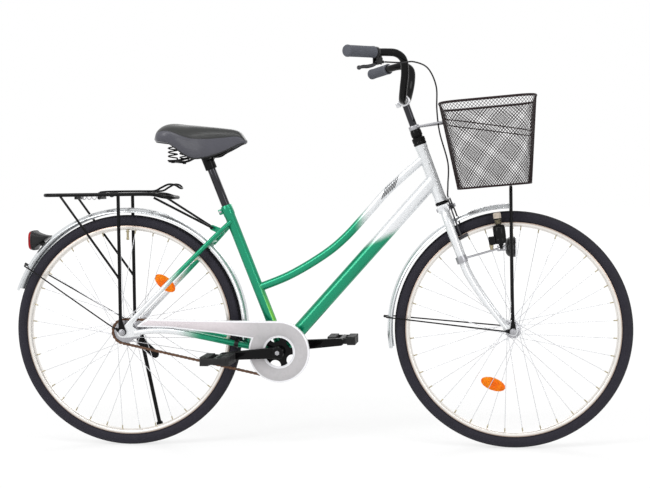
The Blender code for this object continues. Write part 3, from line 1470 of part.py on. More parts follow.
def cranks():
    """Right crank with chainring, and left crank with the spindle through the bracket."""
    arm, spindle, collar = crank_arm(-1)
    shapes = [
        side_plate(
            toothed(RING_RADIUS, CHAINRING_TEETH), BRACKET,
            -CHAIN_LINE - TOOTH_THICKNESS / 2, -CHAIN_LINE + TOOTH_THICKNESS / 2,
        ),
        across_rod(BRACKET, -CRANK_OUTER - 0.006, -SHELL_WIDTH / 2 - 0.006, 0.036, 12),
        arm, spindle, collar,
    ]
    cuts = [across_rod(BRACKET, -CRANK_OUTER + 0.002, 0, SPINDLE_DIAMETER + 2 * GAP, 12)]
    for i in range(5):
        angle = 2 * math.pi * (i + 0.5) / 5
        middle = BRACKET + Vector((math.cos(angle), 0, math.sin(angle))) * (RING_RADIUS * 0.56)
        cuts.append(across_rod(middle, -0.05, -0.03, RING_RADIUS * 0.40, 7))
    piece("crankset_right", shapes, BLACK, CRANK, cuts)
    arm, spindle, collar = crank_arm(1)
    shapes = [
        across_rod(BRACKET, -CRANK_OUTER + 0.004, CRANK_OUTER, SPINDLE_DIAMETER, 12),
        across_rod(BRACKET, CRANK_INNER - 0.006, CRANK_OUTER + 0.006, 0.036, 12),
        arm, spindle, collar,
    ]
    piece("crank_left", shapes, BLACK, CRANK)


def pedal(name, side, axis):
    """Barrel, end plates and two tread blocks, free to spin on the spindle."""
    place = Vector(axis["place"])
    low, high = PEDAL_INNER, PEDAL_INNER + PEDAL_WIDTH
    block_length = PEDAL_LENGTH * 0.30
    shapes = [across_rod(place, *sorted((side * low, side * high)), 0.020, 10)]
    middle = side * (low + high) / 2
    for end in (1, -1):
        shapes.append(
            block(
                place + Vector((end * (PEDAL_LENGTH - block_length) / 2, middle, 0)),
                (block_length, PEDAL_WIDTH - 0.002, PEDAL_HEIGHT),
            )
        )
        plate = middle + end * (PEDAL_WIDTH / 2 - 0.003)
        shapes.append(
            block(place + LEFT * plate, (PEDAL_LENGTH * 0.8, 0.006, PEDAL_HEIGHT * 0.7))
        )
    bore = across_rod(place, -0.3, 0.3, PEDAL_SPINDLE + 4 * GAP, 10)
    piece(name, shapes, BLACK_PLASTIC, axis, [bore])


# Seat

SEAT_HEAD = SEAT_TUBE_TOP + SEAT_UP * (SEAT_POST_LENGTH - SEAT_INSERTION)
SEAT = joint_axis("seat_axis", SEAT_HEAD)
SADDLE_BACK = -0.1494
SPRING_AHEAD = -0.0894
SPRING_LEFT = 0.060
SPRING_SEAT = -0.0005
SADDLE_SHAPE = [
    (0.00, 0.45, 0.025, 0.010), (0.05, 0.80, 0.045, 0.007), (0.12, 0.95, 0.058, 0.004),
    (0.20, 1.00, 0.062, 0.000), (0.28, 0.97, 0.061, -0.015), (0.36, 0.85, 0.058, -0.034),
    (0.45, 0.68, 0.056, -0.047), (0.55, 0.52, 0.053, -0.045), (0.66, 0.41, 0.050, -0.037),
    (0.78, 0.33, 0.046, -0.025), (0.88, 0.28, 0.042, -0.012), (0.95, 0.23, 0.033, -0.002),
    (1.00, 0.14, 0.012, 0.002),
]


def seat(ahead, up, left=0.0):
    return SEAT_HEAD + Vector((ahead, left, up))


def seat_post():
    bottom = SEAT_HEAD - SEAT_UP * SEAT_POST_LENGTH
    piece("seat_post", [rod(bottom, SEAT_HEAD, SEAT_POST_DIAMETER, 12)], CHROME, SEAT)


def saddle():
    """A crowned seat, wide behind and narrow ahead, with drawn-in sides and a hollow base."""
    sections = []
    for share, width, crown, edge in SADDLE_SHAPE:
        half = SADDLE_HALF_WIDTH * width
        ahead = SADDLE_BACK + SADDLE_LENGTH * share
        base = max(0.0, edge - 0.004)
        inner = max(half * 0.5, half - 0.018)
        outline = [(inner * 0.5, base), (inner, base), (half * 0.92, edge)]
        side = edge + (crown - edge) * 0.30
        for i in range(6):
            angle = math.pi / 2 * i / 6
            outline.append(
                (half * math.cos(angle) ** 0.7, side + (crown - side) * math.sin(angle) ** 0.9)
            )
        section = [(-left, up) for left, up in reversed(outline)]
        section += [(0, base)] + outline + [(0, crown)]
        sections.append([seat(ahead, SADDLE_BASE + up, left) for left, up in section])
    piece("saddle", [rings(sections)], VINYL, SEAT)


def saddle_frame():
    """Rails, the spring plates on them, the nose plate and the clamp on the seat post."""
    half = [
        (-0.104, -0.004, 0.020), (-0.104, -0.004, 0.048), (-0.094, -0.004, 0.060),
        (-0.072, -0.001, 0.046), (-0.046, 0.007, 0.027), (-0.022, 0.010, RAIL_SPREAD),
        (0.028, 0.010, RAIL_SPREAD), (0.050, 0.019, 0.014), (0.068, 0.031, 0.011),
        (0.078, SADDLE_BASE - 0.004, 0.011),
    ]
    side_route = [seat(*point) for point in half]
    route = [mirrored(point) for point in reversed(side_route)] + side_route
    shapes = [
        tube(route, RAIL_DIAMETER, 1),
        rod(SEAT_HEAD - SEAT_UP * 0.030, SEAT_HEAD + SEAT_UP * 0.012, 0.035, 12),
        across_rod(seat(0, 0.0105), -RAIL_SPREAD - 0.010, RAIL_SPREAD + 0.010, 0.030, 10),
        block(seat(0.078, SADDLE_BASE - 0.0035), (0.014, 0.026, 0.006)),
    ]
    for side in (1, -1):
        plate = seat(SPRING_AHEAD, SPRING_SEAT, side * SPRING_LEFT)
        shapes.append(rod(plate - UP * 0.0035, plate, SPRING_DIAMETER + 0.002, 10))
    bore = rod(
        SEAT_HEAD - SEAT_UP * 0.050, SEAT_HEAD + SEAT_UP * 2 * GAP, SEAT_POST_DIAMETER + 4 * GAP, 12
    )
    piece("saddle_frame", shapes, BLACK, SEAT, [bore])


def saddle_springs():
    height = SADDLE_BASE - SPRING_SEAT - 2 * GAP
    for name, side in (("saddle_spring_left", 1), ("saddle_spring_right", -1)):
        start = seat(SPRING_AHEAD, SPRING_SEAT + GAP, side * SPRING_LEFT)
        turns = coil(start, UP, SPRING_WIRE, SPRING_DIAMETER, SPRING_CURLS, height)
        piece(name, [tube(turns, SPRING_WIRE, 1)], STEEL, SEAT)


# Basket and its supports

BASKET_UP = Vector((-math.sin(BASKET_TILT), 0, math.cos(BASKET_TILT)))
BASKET_PLACE = axes_at(front(-0.049, BASKET_HEIGHT), BASKET_UP)


def rounded(half_length, half_width, radius, height):
    """A rectangle with round corners at a height in the basket's own axes."""
    corners = ((1, 1, 0), (-1, 1, 90), (-1, -1, 180), (1, -1, 270))
    points = []
    for across, left, turn in corners:
        centre = (across * (half_length - radius), left * (half_width - radius))
        start = math.radians(turn)
        points += arc(centre, radius, start, start + math.pi / 2, 3)
    return [BASKET_PLACE @ Vector((x, y, height)) for x, y in points]


def basket_half(height, start, end):
    return start / 2 + (end - start) / 2 * height / BASKET_DEPTH


def basket_ring(height, grow=0.0):
    return rounded(
        basket_half(height, BASKET_FLOOR_LENGTH, BASKET_RIM_LENGTH) + grow,
        basket_half(height, 2 * BASKET_FLOOR_HALF, 2 * BASKET_RIM_HALF) + grow, 0.030 + grow, height,
    )


def basket():
    """An open tub with flared walls and a rolled rim."""
    rim_start = BASKET_DEPTH - 0.008
    sections = [
        basket_ring(0), basket_ring(rim_start), basket_ring(rim_start, 0.003),
        basket_ring(BASKET_DEPTH, 0.003), basket_ring(BASKET_DEPTH, -BASKET_WALL),
        basket_ring(BASKET_WALL, -BASKET_WALL),
    ]
    piece("basket", [rings(sections)], BLACK, STEERING)


BASKET_STAY_LEG = [(-0.001, 0.10, FRONT_STAY_EYELET - 0.0015), (-0.002, 0.312, 0.040)]


def basket_stay():
    """An upturned U from both ends of the front axle to the basket's floor."""
    ahead = -0.002
    floor_drop = (front(ahead, 0) - BASKET_PLACE.translation).x * math.tan(BASKET_TILT)
    top = BASKET_HEIGHT + floor_drop - BASKET_STAY / 2 - 3 * GAP
    low = FRONT_STAY_EYELET + RACK_EYELET / 2
    half = [(0, 0.016, low)] + BASKET_STAY_LEG
    half += [(ahead, top - 0.020, 0.0345), (ahead, top - 0.005, 0.028), (ahead, top, 0.014)]
    route = [front(*point) for point in half]
    route += [mirrored(point) for point in reversed(route)]
    shapes = [tube(route, BASKET_STAY, 1)]
    for side in (1, -1):
        ends = sorted((side * FRONT_STAY_EYELET, side * (FRONT_STAY_EYELET + RACK_EYELET)))
        outline = slot_outline((0, 0), (0, 0.026), 0.010, 0.0055)
        shapes.append(side_plate(outline, FRONT, *ends))
    bore = across_rod(FRONT, -0.1, 0.1, AXLE_BORE)
    piece("basket_stay", shapes, BLACK, STEERING, [bore])


def basket_bracket():
    """A band round the quill with two arms to the basket's rear wall."""
    start = NUT_START + LOCK_NUT_HEIGHT + GAP
    inside = QUILL_DIAMETER / 2 + 2 * GAP
    band = turned(
        [(inside, 0), (0.0165, 0), (0.0165, 0.012), (inside, 0.012)],
        axes_at(steer(start), STEER_UP), 12,
    )
    shapes = [band]
    for side in (1, -1):
        height = 0.200
        wall = basket_half(height, BASKET_FLOOR_LENGTH, BASKET_RIM_LENGTH)
        end = BASKET_PLACE @ Vector((-wall - 0.0016, side * 0.045, height))
        shapes.append(rod(steer(start + 0.006, 0.008, side * 0.009), end, 0.006, 6))
    bore = rod(steer(start - 0.02), steer(start + 0.03), 2 * inside, 12)
    piece("basket_bracket", shapes, STEEL, STEERING, [bore])


# Lights

HEADLIGHT = front(-0.002, 0.238, 0.090)


def headlight():
    """A round lamp on the left leg of the basket stay, facing forward."""
    radius = HEADLIGHT_DIAMETER / 2
    face = HEADLIGHT_DEPTH / 2
    bowl = [
        (0, -face), (radius * 0.5, -face * 0.92), (radius * 0.87, -face * 0.35),
        (radius, face * 0.75), (radius - 0.002, face * 0.75), (radius - 0.002, face * 0.3),
        (0, face * 0.3),
    ]
    lens = [
        (0, face * 0.3 + GAP), (radius - 0.002 - GAP - 0.0004, face * 0.3 + GAP),
        (radius - 0.002 - GAP - 0.0004, face * 0.8), (radius * 0.5, face * 0.97), (0, face),
    ]
    place = axes_at(HEADLIGHT, Vector((1, 0, 0)))
    low, high = (front(*point) for point in BASKET_STAY_LEG)
    leg = low.lerp(high, (HEADLIGHT.z - low.z) / (high.z - low.z))
    hold = BASKET_STAY / 2 + GAP
    clip = [(hold, -0.006), (hold + 0.003, -0.006), (hold + 0.003, 0.006), (hold, 0.006)]
    shapes = [
        turned(bowl, place, 16),
        turned(clip, axes_at(leg, high - low), 10),
        rod(
            leg + LEFT * (hold + 0.001),
            Vector((leg.x, HEADLIGHT.y - radius * 0.8, HEADLIGHT.z)), 0.009, 6,
        ),
    ]
    piece("headlight_housing", shapes, BLACK_PLASTIC, STEERING)
    piece("headlight_lens", [turned(lens, place, 16)], CLEAR, STEERING)


# The dynamo stands along a radius of the front wheel, on the right side
DYNAMO_ANGLE = math.radians(97.3)
DYNAMO_OUT = Vector((math.cos(DYNAMO_ANGLE), 0, math.sin(DYNAMO_ANGLE)))
DYNAMO_TANGENT = LEFT.cross(DYNAMO_OUT)
DYNAMO_LEFT = -(TYRE_WIDTH / 2 + ROLLER_DIAMETER / 2 + ROLLER_CLEARANCE)
DYNAMO_FOOT = 0.246
DYNAMO_START = 0.256
ROLLER_START = 0.330
ROLLER_END = 0.347
SWING_PLACE = FRONT + DYNAMO_OUT * DYNAMO_FOOT + LEFT * DYNAMO_LEFT
SWING = joint_axis("dynamo_axis", SWING_PLACE, STEERING)
ROLLER = joint_axis("dynamo_roller_axis", SWING_PLACE + DYNAMO_OUT * 0.09, SWING)


def dynamo():
    """Bottle dynamo with its hinge lug and shaft, its roller, and the bracket on the fork."""
    base = FRONT + LEFT * DYNAMO_LEFT

    def out(radius):
        return base + DYNAMO_OUT * radius

    body_end = DYNAMO_START + DYNAMO_HEIGHT
    lug = 0.008
    shapes = [
        rod(out(DYNAMO_START), out(body_end), DYNAMO_DIAMETER, 14),
        rod(out(body_end - 0.001), out(ROLLER_START - RUNNING), 0.016, 10),
        rod(out(ROLLER_START - 0.002), out(ROLLER_END - 0.004), 0.005, 8),
        rod(SWING_PLACE - DYNAMO_TANGENT * lug, SWING_PLACE + DYNAMO_TANGENT * lug, 0.012, 10),
        block(
            out(DYNAMO_START - 0.001), (2 * lug, 0.010, 0.010), axes_of(DYNAMO_OUT, DYNAMO_TANGENT)
        ),
    ]
    pin = rod(SWING_PLACE - DYNAMO_TANGENT * 0.03, SWING_PLACE + DYNAMO_TANGENT * 0.03, 0.0058, 8)
    piece("dynamo_body", shapes, BLACK_PLASTIC, SWING, [pin])
    height = ROLLER_END - ROLLER_START
    profile = [
        (0.0025 + RUNNING, 0), (ROLLER_DIAMETER / 2, 0), (ROLLER_DIAMETER / 2, height - 0.002),
        (ROLLER_DIAMETER / 2 - 0.002, height), (0, height), (0, height - 0.003),
        (0.0025 + RUNNING, height - 0.003),
    ]
    place = axes_at(out(ROLLER_START), DYNAMO_OUT)
    piece("dynamo_roller", [turned(profile, place, 14)], CREAM, ROLLER)
    along = 0.222
    blade = steer(along, 0, -blade_left(along))
    blade_radius = BLADE_DIAMETER / 2 + 2 * GAP
    cheek = lug + 2 * GAP
    band = [
        (blade_radius, -0.010), (blade_radius + 0.003, -0.010), (blade_radius + 0.003, 0.010),
        (blade_radius, 0.010),
    ]
    shapes = [turned(band, axes_at(blade, STEER_UP), 10)]
    near = SWING_PLACE - DYNAMO_TANGENT * cheek
    far = SWING_PLACE + DYNAMO_TANGENT * cheek
    shapes.append(rod(near, far, 0.0045, 8))
    for place in (near, far):
        step = (place - SWING_PLACE).normalized() * 0.003
        shapes.append(rod(place, place + step, 0.012, 10))
    behind, ahead = (far, near) if far.x < near.x else (near, far)
    below = -DYNAMO_OUT * 0.009
    outside = steer(along, blade_radius + 0.0015, -blade_left(along))
    shapes.append(rod(outside, behind + below * 0.4 - Vector((0.0015, 0, 0)), 0.006, 6))
    back_end = behind + below - Vector((0.004, 0, 0))
    shapes.append(rod(back_end, ahead + below + Vector((0.003, 0, 0)), 0.005, 6))
    for cheek_face in (behind, ahead):
        middle = cheek_face + (cheek_face - SWING_PLACE).normalized() * 0.003
        shapes.append(rod(middle, middle + below, 0.005, 6))
    piece("dynamo_bracket", shapes, STEEL, STEERING)


# Side stand

STAND_HINGE = rear(0.012, -0.048, STAND_INNER + STAND_PLATE)
STAND_AXIS = Vector((-0.1, 1, 0.109)).normalized()
STAND = joint_axis("side_stand_axis", STAND_HINGE, None)
STAND_FOOT = Vector((REAR.x + 0.030, STAND_SPREAD, 0))


def side_stand():
    """Bracket plate on the left end of the axle with the hinge bolt, and the leg."""
    ends = (STAND_INNER, STAND_INNER + STAND_PLATE)
    shapes = [
        side_plate(slot_outline((0, 0), (0.012, -0.048), 0.013, 0.013), REAR, *ends),
        side_plate(slot_outline((0.012, -0.048), (0.056, -0.086), 0.013, 0.012), REAR, *ends),
        rod(STAND_HINGE - STAND_AXIS * 0.003, STAND_HINGE + STAND_AXIS * 0.019, 0.008, 8),
        rod(STAND_HINGE + STAND_AXIS * 0.0160, STAND_HINGE + STAND_AXIS * 0.020, 0.015, 8),
        across_rod(rear(0.056, -0.086), ends[1] - 0.001, ends[1] + 0.004, 0.011, 6),
    ]
    bore = across_rod(REAR, 0, 0.1, AXLE_BORE)
    piece("stand_bracket", shapes, BLACK, None, [bore])
    top = STAND_HINGE + STAND_AXIS * 0.0085
    down = (STAND_FOOT - top).normalized()
    shapes = [
        rod(STAND_HINGE + STAND_AXIS * 0.0025, STAND_HINGE + STAND_AXIS * 0.0150, 0.022, 12),
        rod(top + down * 0.010, STAND_FOOT, STAND_LEG_DIAMETER, 8),
        rod(STAND_FOOT - down * 0.028, STAND_FOOT + down * 0.012, 0.020, 10),
    ]
    cuts = [
        rod(STAND_HINGE - STAND_AXIS * 0.01, STAND_HINGE + STAND_AXIS * 0.03, 0.0092, 8),
        block(STAND_FOOT - UP * 0.05, (0.2, 0.2, 0.1)),
    ]
    piece("side_stand_leg", shapes, BLACK, STAND, cuts)


frame()
bearings()
fork()
headset_nut()
stem()
bar_and_grips()
brake_lever()
brake_cable()
caliper()
wheels()
axles()
coaster_arm()
fenders()
rack()
rack_clamp()
rack_spring()
rack_strut()
tail_light()
chain()
chain_guard()
sprocket()
cranks()
pedal("pedal_right", -1, RIGHT_PEDAL)
pedal("pedal_left", 1, LEFT_PEDAL)
seat_post()
saddle()
saddle_frame()
saddle_springs()
basket()
basket_stay()
basket_bracket()
headlight()
dynamo()
side_stand()
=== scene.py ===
# %% [markdown]
# # A city bicycle, dressed piece by piece
#
# The bicycle's solids come packed as a fixed frame: plain, closed and in metres, with +X
# forward, +Y to the rider's left and +Z up. This lesson gives them their finish. Each step
# says what the piece is on a real bicycle, how it could be made in Blender, and why this
# way was chosen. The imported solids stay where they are; new pieces ride on their bodies.

# %% Load the frame
import json
from math import acos, atan2, copysign, cos, degrees, dist, pi, radians, sin, tan

import bmesh
import bpy
from mathutils import Matrix, Vector

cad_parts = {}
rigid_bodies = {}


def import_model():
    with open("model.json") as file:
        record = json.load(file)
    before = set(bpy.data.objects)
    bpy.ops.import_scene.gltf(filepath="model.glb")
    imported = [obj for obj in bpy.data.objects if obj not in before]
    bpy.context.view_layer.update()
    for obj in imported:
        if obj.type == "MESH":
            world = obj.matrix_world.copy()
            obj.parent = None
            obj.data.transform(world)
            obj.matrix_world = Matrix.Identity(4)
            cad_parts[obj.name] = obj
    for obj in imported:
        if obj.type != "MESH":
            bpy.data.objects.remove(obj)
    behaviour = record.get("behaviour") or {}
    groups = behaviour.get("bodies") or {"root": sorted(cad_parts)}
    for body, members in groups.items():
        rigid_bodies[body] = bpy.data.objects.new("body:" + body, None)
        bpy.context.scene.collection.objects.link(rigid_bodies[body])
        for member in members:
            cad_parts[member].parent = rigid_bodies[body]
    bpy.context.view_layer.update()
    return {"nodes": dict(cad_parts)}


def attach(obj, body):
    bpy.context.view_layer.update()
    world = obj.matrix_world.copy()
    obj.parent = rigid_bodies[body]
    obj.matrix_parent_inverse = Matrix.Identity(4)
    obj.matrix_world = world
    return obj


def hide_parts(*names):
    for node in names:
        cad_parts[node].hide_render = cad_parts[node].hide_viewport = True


for item in list(bpy.data.objects):
    bpy.data.objects.remove(item)


def placed(name, data):
    """A new object in the scene that shows a mesh, a lamp or a camera."""
    made = bpy.data.objects.new(name, data)
    bpy.context.collection.objects.link(made)
    return made


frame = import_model()

# %% [markdown]
# The camera comes first, because everything is judged through it. It was worked out from
# the two wheels in the photograph: they are the same size and stand a known distance apart,
# which fixes the lens, the distance and the small turn to the left. The photograph was
# cropped off-centre, so the sensor is shifted rather than the camera turned.

# %% Camera
yaw, pitch, roll = (radians(angle) for angle in (5.41, -1.51, -0.71))
ahead = Vector((-sin(yaw) * cos(pitch), cos(yaw) * cos(pitch), sin(pitch)))
right = Vector((cos(yaw), sin(yaw), 0))
above = right.cross(ahead)
level = right * cos(roll) + above * sin(roll)
above = above * cos(roll) - right * sin(roll)
camera = placed("camera", bpy.data.cameras.new("camera"))
turn = Matrix((level, above, -ahead)).transposed().to_4x4()
camera.matrix_world = Matrix.Translation((0.525, -3.221, 0.758)) @ turn
camera.data.lens = 60.6
camera.data.sensor_width = 36
camera.data.shift_x, camera.data.shift_y = -0.1, -0.037
bpy.context.scene.camera = camera
bpy.context.scene.view_settings.view_transform = "Standard"
print("lens", camera.data.lens, "mm")

# %% [markdown]
# Shader trees are easier to read as sums. One small class holds a socket and overloads the
# operators, so that `1 - mask` or `wave * 0.5` adds the Math nodes by itself. A second class
# is a tree, with one method that adds any other node. A third is a finish: a tree with one
# Principled shader.


# %% Small classes for materials
def by_math(operation):
    """An operator between two fields, or a field and a number, as one Math node."""
    return lambda field, other: field.math(operation, other)


class Field:
    """A value that varies over a surface, held by one socket of a tree."""

    __add__ = __radd__ = by_math("ADD")
    __mul__ = __rmul__ = by_math("MULTIPLY")
    __sub__, __truediv__, __pow__ = by_math("SUBTRACT"), by_math("DIVIDE"), by_math("POWER")

    def __init__(self, shader, socket):
        self.shader, self.socket = shader, socket

    def __rsub__(self, other):
        return self.shader.node("ShaderNodeMath", {0: other, 1: self}, operation="SUBTRACT")

    def math(self, operation, *others, **settings):
        values = dict(enumerate((self, *others)))
        return self.shader.node("ShaderNodeMath", values, operation=operation, **settings)

    def rise(self, low, high):
        """0 below the low value, 1 above the high one, smooth in between."""
        values = {"Value": self, "From Min": low, "From Max": high}
        return self.shader.node("ShaderNodeMapRange", values, interpolation_type="SMOOTHSTEP")

    def band(self, middle, half, soft):
        """1 near a middle value, 0 away from it."""
        off = (self - middle).math("ABSOLUTE")
        return 1 - off.rise(half, half + soft)


class Shader:
    """A tree of nodes, for a finish, the floor or the world."""

    def __init__(self, owner):
        owner.use_nodes = True
        self.tree = owner.node_tree

    def node(self, kind, values=None, output=0, **settings):
        made = self.tree.nodes.new(kind)
        for key, value in settings.items():
            setattr(made, key, value)
        for key, value in (values or {}).items():
            self.feed(made.inputs[key], value)
        return Field(self, made.outputs[output]) if made.outputs else made

    def feed(self, socket, value):
        if isinstance(value, Field):
            self.tree.links.new(value.socket, socket)
        else:
            socket.default_value = value

    def rays(self, *kinds):
        """1 for rays of the kinds named, 0 for others."""
        first, *others = (
            self.node("ShaderNodeLightPath", output=f"Is {kind} Ray") for kind in kinds
        )
        for other in others:
            first = first.math("ADD", other, use_clamp=True)
        return first


class Look(Shader):
    """A finish: one Principled shader and what varies over it."""

    def __init__(self, slot, colour, roughness, metallic=0.0, coat=0.0, name=None, gloss=0.5):
        self.slot = slot
        self.material = bpy.data.materials.new((name or slot) + "_finish")
        super().__init__(self.material)
        self.principled = self.tree.nodes["Principled BSDF"]
        self.colour = (*colour, 1)
        self.set(**{"Base Color": self.colour, "Roughness": roughness, "Metallic": metallic})
        self.set(**{"Coat Weight": coat, "Coat Roughness": 0.08, "Specular IOR Level": gloss})
        self.where = self.node("ShaderNodeTexCoord", output="Object")

    def set(self, **values):
        for key, value in values.items():
            self.feed(self.principled.inputs[key], value)

    def coloured(self, share, first, second):
        """The base colour, mixed from two by a share."""
        self.set(**{"Base Color": self.mix(share, first, second)})

    def axis(self, index, where=None):
        return self.node("ShaderNodeSeparateXYZ", {0: where or self.where}, output=index)

    def noise(self, scale, detail=2.0, stretch=None, rough=0.5):
        where = self.where
        if stretch:
            where = self.node("ShaderNodeMapping", {"Vector": where, "Scale": stretch})
        values = {"Vector": where, "Scale": scale, "Detail": detail, "Roughness": rough}
        return self.node("ShaderNodeTexNoise", values)

    def cells(self, scale, output="Distance"):
        values = {"Vector": self.where, "Scale": scale}
        return self.node("ShaderNodeTexVoronoi", values, output=output)

    def mix(self, share, *ends):
        values = {0: share}
        for socket, end in zip((6, 7), ends):
            values[socket] = (*end, 1) if isinstance(end, tuple) and len(end) == 3 else end
        return self.node("ShaderNodeMix", values, output=2, data_type="RGBA")

    def tinted(self, colour, factor):
        """A colour made lighter or darker by a factor that varies."""
        values = {0: colour, 1: factor}
        return self.node("ShaderNodeVectorMath", values, operation="MULTIPLY")

    def bump(self, height, distance, strength=1.0):
        values = {"Height": height, "Distance": distance, "Strength": strength}
        self.set(Normal=self.node("ShaderNodeBump", values))


def tint(red, green, blue):
    """A colour as seen on screen, from 0 to 255, turned to the linear values of a shader."""
    values = (value / 255 for value in (red, green, blue))
    return tuple(v / 12.92 if v <= 0.04045 else ((v + 0.055) / 1.055) ** 2.4 for v in values)


# %% [markdown]
# The sizes below are the ones that the solids were drawn with. They give the main places:
# the two axles, the bottom bracket, the seat tube's line and the steering axis.

# %% Sizes and places of the bicycle
WHEELBASE, WHEEL_RADIUS = 1.156, 0.348
TYRE_HEIGHT, TYRE_WIDTH = 0.032, 0.037
RIM_RADIUS = WHEEL_RADIUS - TYRE_HEIGHT
RIM_WIDTH, RIM_DEPTH = 0.024, 0.014
RIM_INNER = RIM_RADIUS - RIM_DEPTH
CHAIN_STAY_REACH, BRACKET_DROP = 0.470, 0.059
SEAT_ANGLE, HEAD_ANGLE = radians(69), radians(70.5)
FORK_RAKE = 0.068
LEFT, UP = Vector((0, 1, 0)), Vector((0, 0, 1))
REAR = Vector((-WHEELBASE / 2, 0, WHEEL_RADIUS))
FRONT = Vector((WHEELBASE / 2, 0, WHEEL_RADIUS))
BRACKET = REAR + Vector((CHAIN_STAY_REACH, 0, -BRACKET_DROP))
SEAT_UP = Vector((-cos(SEAT_ANGLE), 0, sin(SEAT_ANGLE)))
SEAT_AHEAD = Vector((sin(SEAT_ANGLE), 0, cos(SEAT_ANGLE)))
STEER_UP = Vector((-cos(HEAD_ANGLE), 0, sin(HEAD_ANGLE)))
STEER_AHEAD = Vector((sin(HEAD_ANGLE), 0, cos(HEAD_ANGLE)))
STEER_BASE = FRONT - Vector((FORK_RAKE / sin(HEAD_ANGLE), 0, 0))
GAP, AXLE_HOLE = 0.0003, 0.0054


def rear(ahead, up, left=0.0):
    """A place counted from the rear axle."""
    return REAR + Vector((ahead, left, up))


def front(ahead, up, left=0.0):
    """A place counted from the front axle."""
    return FRONT + Vector((ahead, left, up))


def steer(along, ahead=0.0, left=0.0):
    """A place counted up the steering axis, and ahead of it."""
    return STEER_BASE + STEER_UP * along + STEER_AHEAD * ahead + LEFT * left


def mirrored(point):
    return Vector((point.x, -point.y, point.z))


def mirror_image(line):
    """A line's mirror image on the other side, walked the other way."""
    return [mirrored(point) for point in reversed(line)]


print("bottom bracket at", tuple(round(value, 3) for value in BRACKET))

# %% [markdown]
# Most of a bicycle is tube, wire, turned metal and stamped plate, so a few helpers cover
# nearly all of it. A tube is a circle extruded from point to point, turned parts are a
# profile spun round an axis, and plates are outlines extruded and bevelled. Each helper
# returns a bmesh, and one last helper joins them, shades them and hangs them on a body.


# %% Placing and drawing helpers
def axes_at(origin, up, ahead=None):
    """A matrix whose Z is up and whose X lies as near to ahead as it can."""
    up = up.normalized()
    if ahead is None:
        ahead = Vector((1, 0, 0)) if abs(up.x) < 0.9 else Vector((0, 1, 0))
    across = up.cross(ahead).normalized()
    turn = Matrix((across.cross(up), across, up)).transposed().to_4x4()
    return Matrix.Translation(origin) @ turn


def wheel_place(centre):
    """Z along an axle, to the left, and X forward."""
    return Matrix(((1, 0, 0, centre.x), (0, 0, 1, centre.y), (0, -1, 0, centre.z), (0, 0, 0, 1)))


def side_place(origin, left):
    """Flat outlines of (forward, up) stood in the side view, a distance to the left."""
    return Matrix(((1, 0, 0, origin.x), (0, 0, 1, left), (0, 1, 0, origin.z), (0, 0, 0, 1)))


def arc(centre, radius, start, end, steps):
    """Points on an arc, both ends counted."""
    return [
        (
            centre[0] + radius * cos(start + (end - start) * i / steps),
            centre[1] + radius * sin(start + (end - start) * i / steps),
        )
        for i in range(steps + 1)
    ]


def slot_outline(start, end, start_radius, end_radius):
    """The outline round two circles, as of a lug or a link plate."""
    along = atan2(end[1] - start[1], end[0] - start[0])
    lean = acos((start_radius - end_radius) / dist(start, end))
    return arc(end, end_radius, along - lean, along + lean, 12) + arc(
        start, start_radius, along + lean, along + 2 * pi - lean, 12
    )


def smooth(points, steps, closed=False):
    """A curve through the points, with a number of steps between each two."""
    points = [Vector(point) for point in points]
    count = len(points)
    route = []
    for i in range(count if closed else count - 1):
        if closed:
            a, b, c, d = (points[(i + k) % count] for k in (-1, 0, 1, 2))
        else:
            a, b, c, d = (points[min(max(i + k, 0), count - 1)] for k in (-1, 0, 1, 2))
        for step in range(steps):
            t = step / steps
            route.append(
                b + (c - a) * (t / 2) + (a * 2 - b * 5 + c * 4 - d) * (t * t / 2)
                + (b * 3 - a - c * 3 + d) * (t * t * t / 2)
            )
    return route if closed else route + [points[-1]]


def both_sides(half):
    """A half profile of (radius, height) and its mirror image, as one closed profile."""
    return half + [(radius, -height) for radius, height in reversed(half)]


# %% Tubes, turned parts, plates, bars and blocks
VERT, EDGE, FACE = bmesh.types.BMVert, bmesh.types.BMEdge, bmesh.types.BMFace


def only(kind, made):
    """The corners, edges or faces among what an operator made."""
    return [item for item in made["geom"] if isinstance(item, kind)]


def frames_along(points, closed):
    """A matrix at each point of a path, carried along it without twisting."""
    count = len(points)
    across = None
    places = []
    for i, point in enumerate(points):
        before = points[i - 1] if i or closed else point
        after = points[(i + 1) % count] if i < count - 1 or closed else point
        along = ((after - point).normalized() + (point - before).normalized()).normalized()
        if across is None:
            across = along.cross(UP if abs(along.z) < 0.9 else LEFT)
        across = (across - along * across.dot(along)).normalized()
        turn = Matrix((across, along.cross(across), along)).transposed().to_4x4()
        places.append(Matrix.Translation(point) @ turn)
    return places


def swept(path, diameters, sides=16, closed=False):
    """A circle extruded from point to point along a path."""
    points = [Vector(point) for point in path]
    if not isinstance(diameters, (list, tuple)):
        diameters = [diameters] * len(points)
    places = [
        place @ Matrix.Diagonal((size / 2, size / 2, 1, 1))
        for place, size in zip(frames_along(points, closed), diameters)
    ]
    shape = bmesh.new()
    bmesh.ops.create_circle(shape, segments=sides, radius=1.0)
    shape.transform(places[0])
    first = loop = list(shape.edges)
    for before, here in zip(places, places[1:]):
        made = bmesh.ops.extrude_edge_only(shape, edges=loop)
        corners, loop = only(VERT, made), only(EDGE, made)
        bmesh.ops.transform(shape, matrix=here @ before.inverted(), verts=corners)
    if closed:
        bmesh.ops.bridge_loops(shape, edges=first + loop)
    else:
        for end in (first, loop):
            bmesh.ops.contextual_create(shape, geom=end)
    return shape


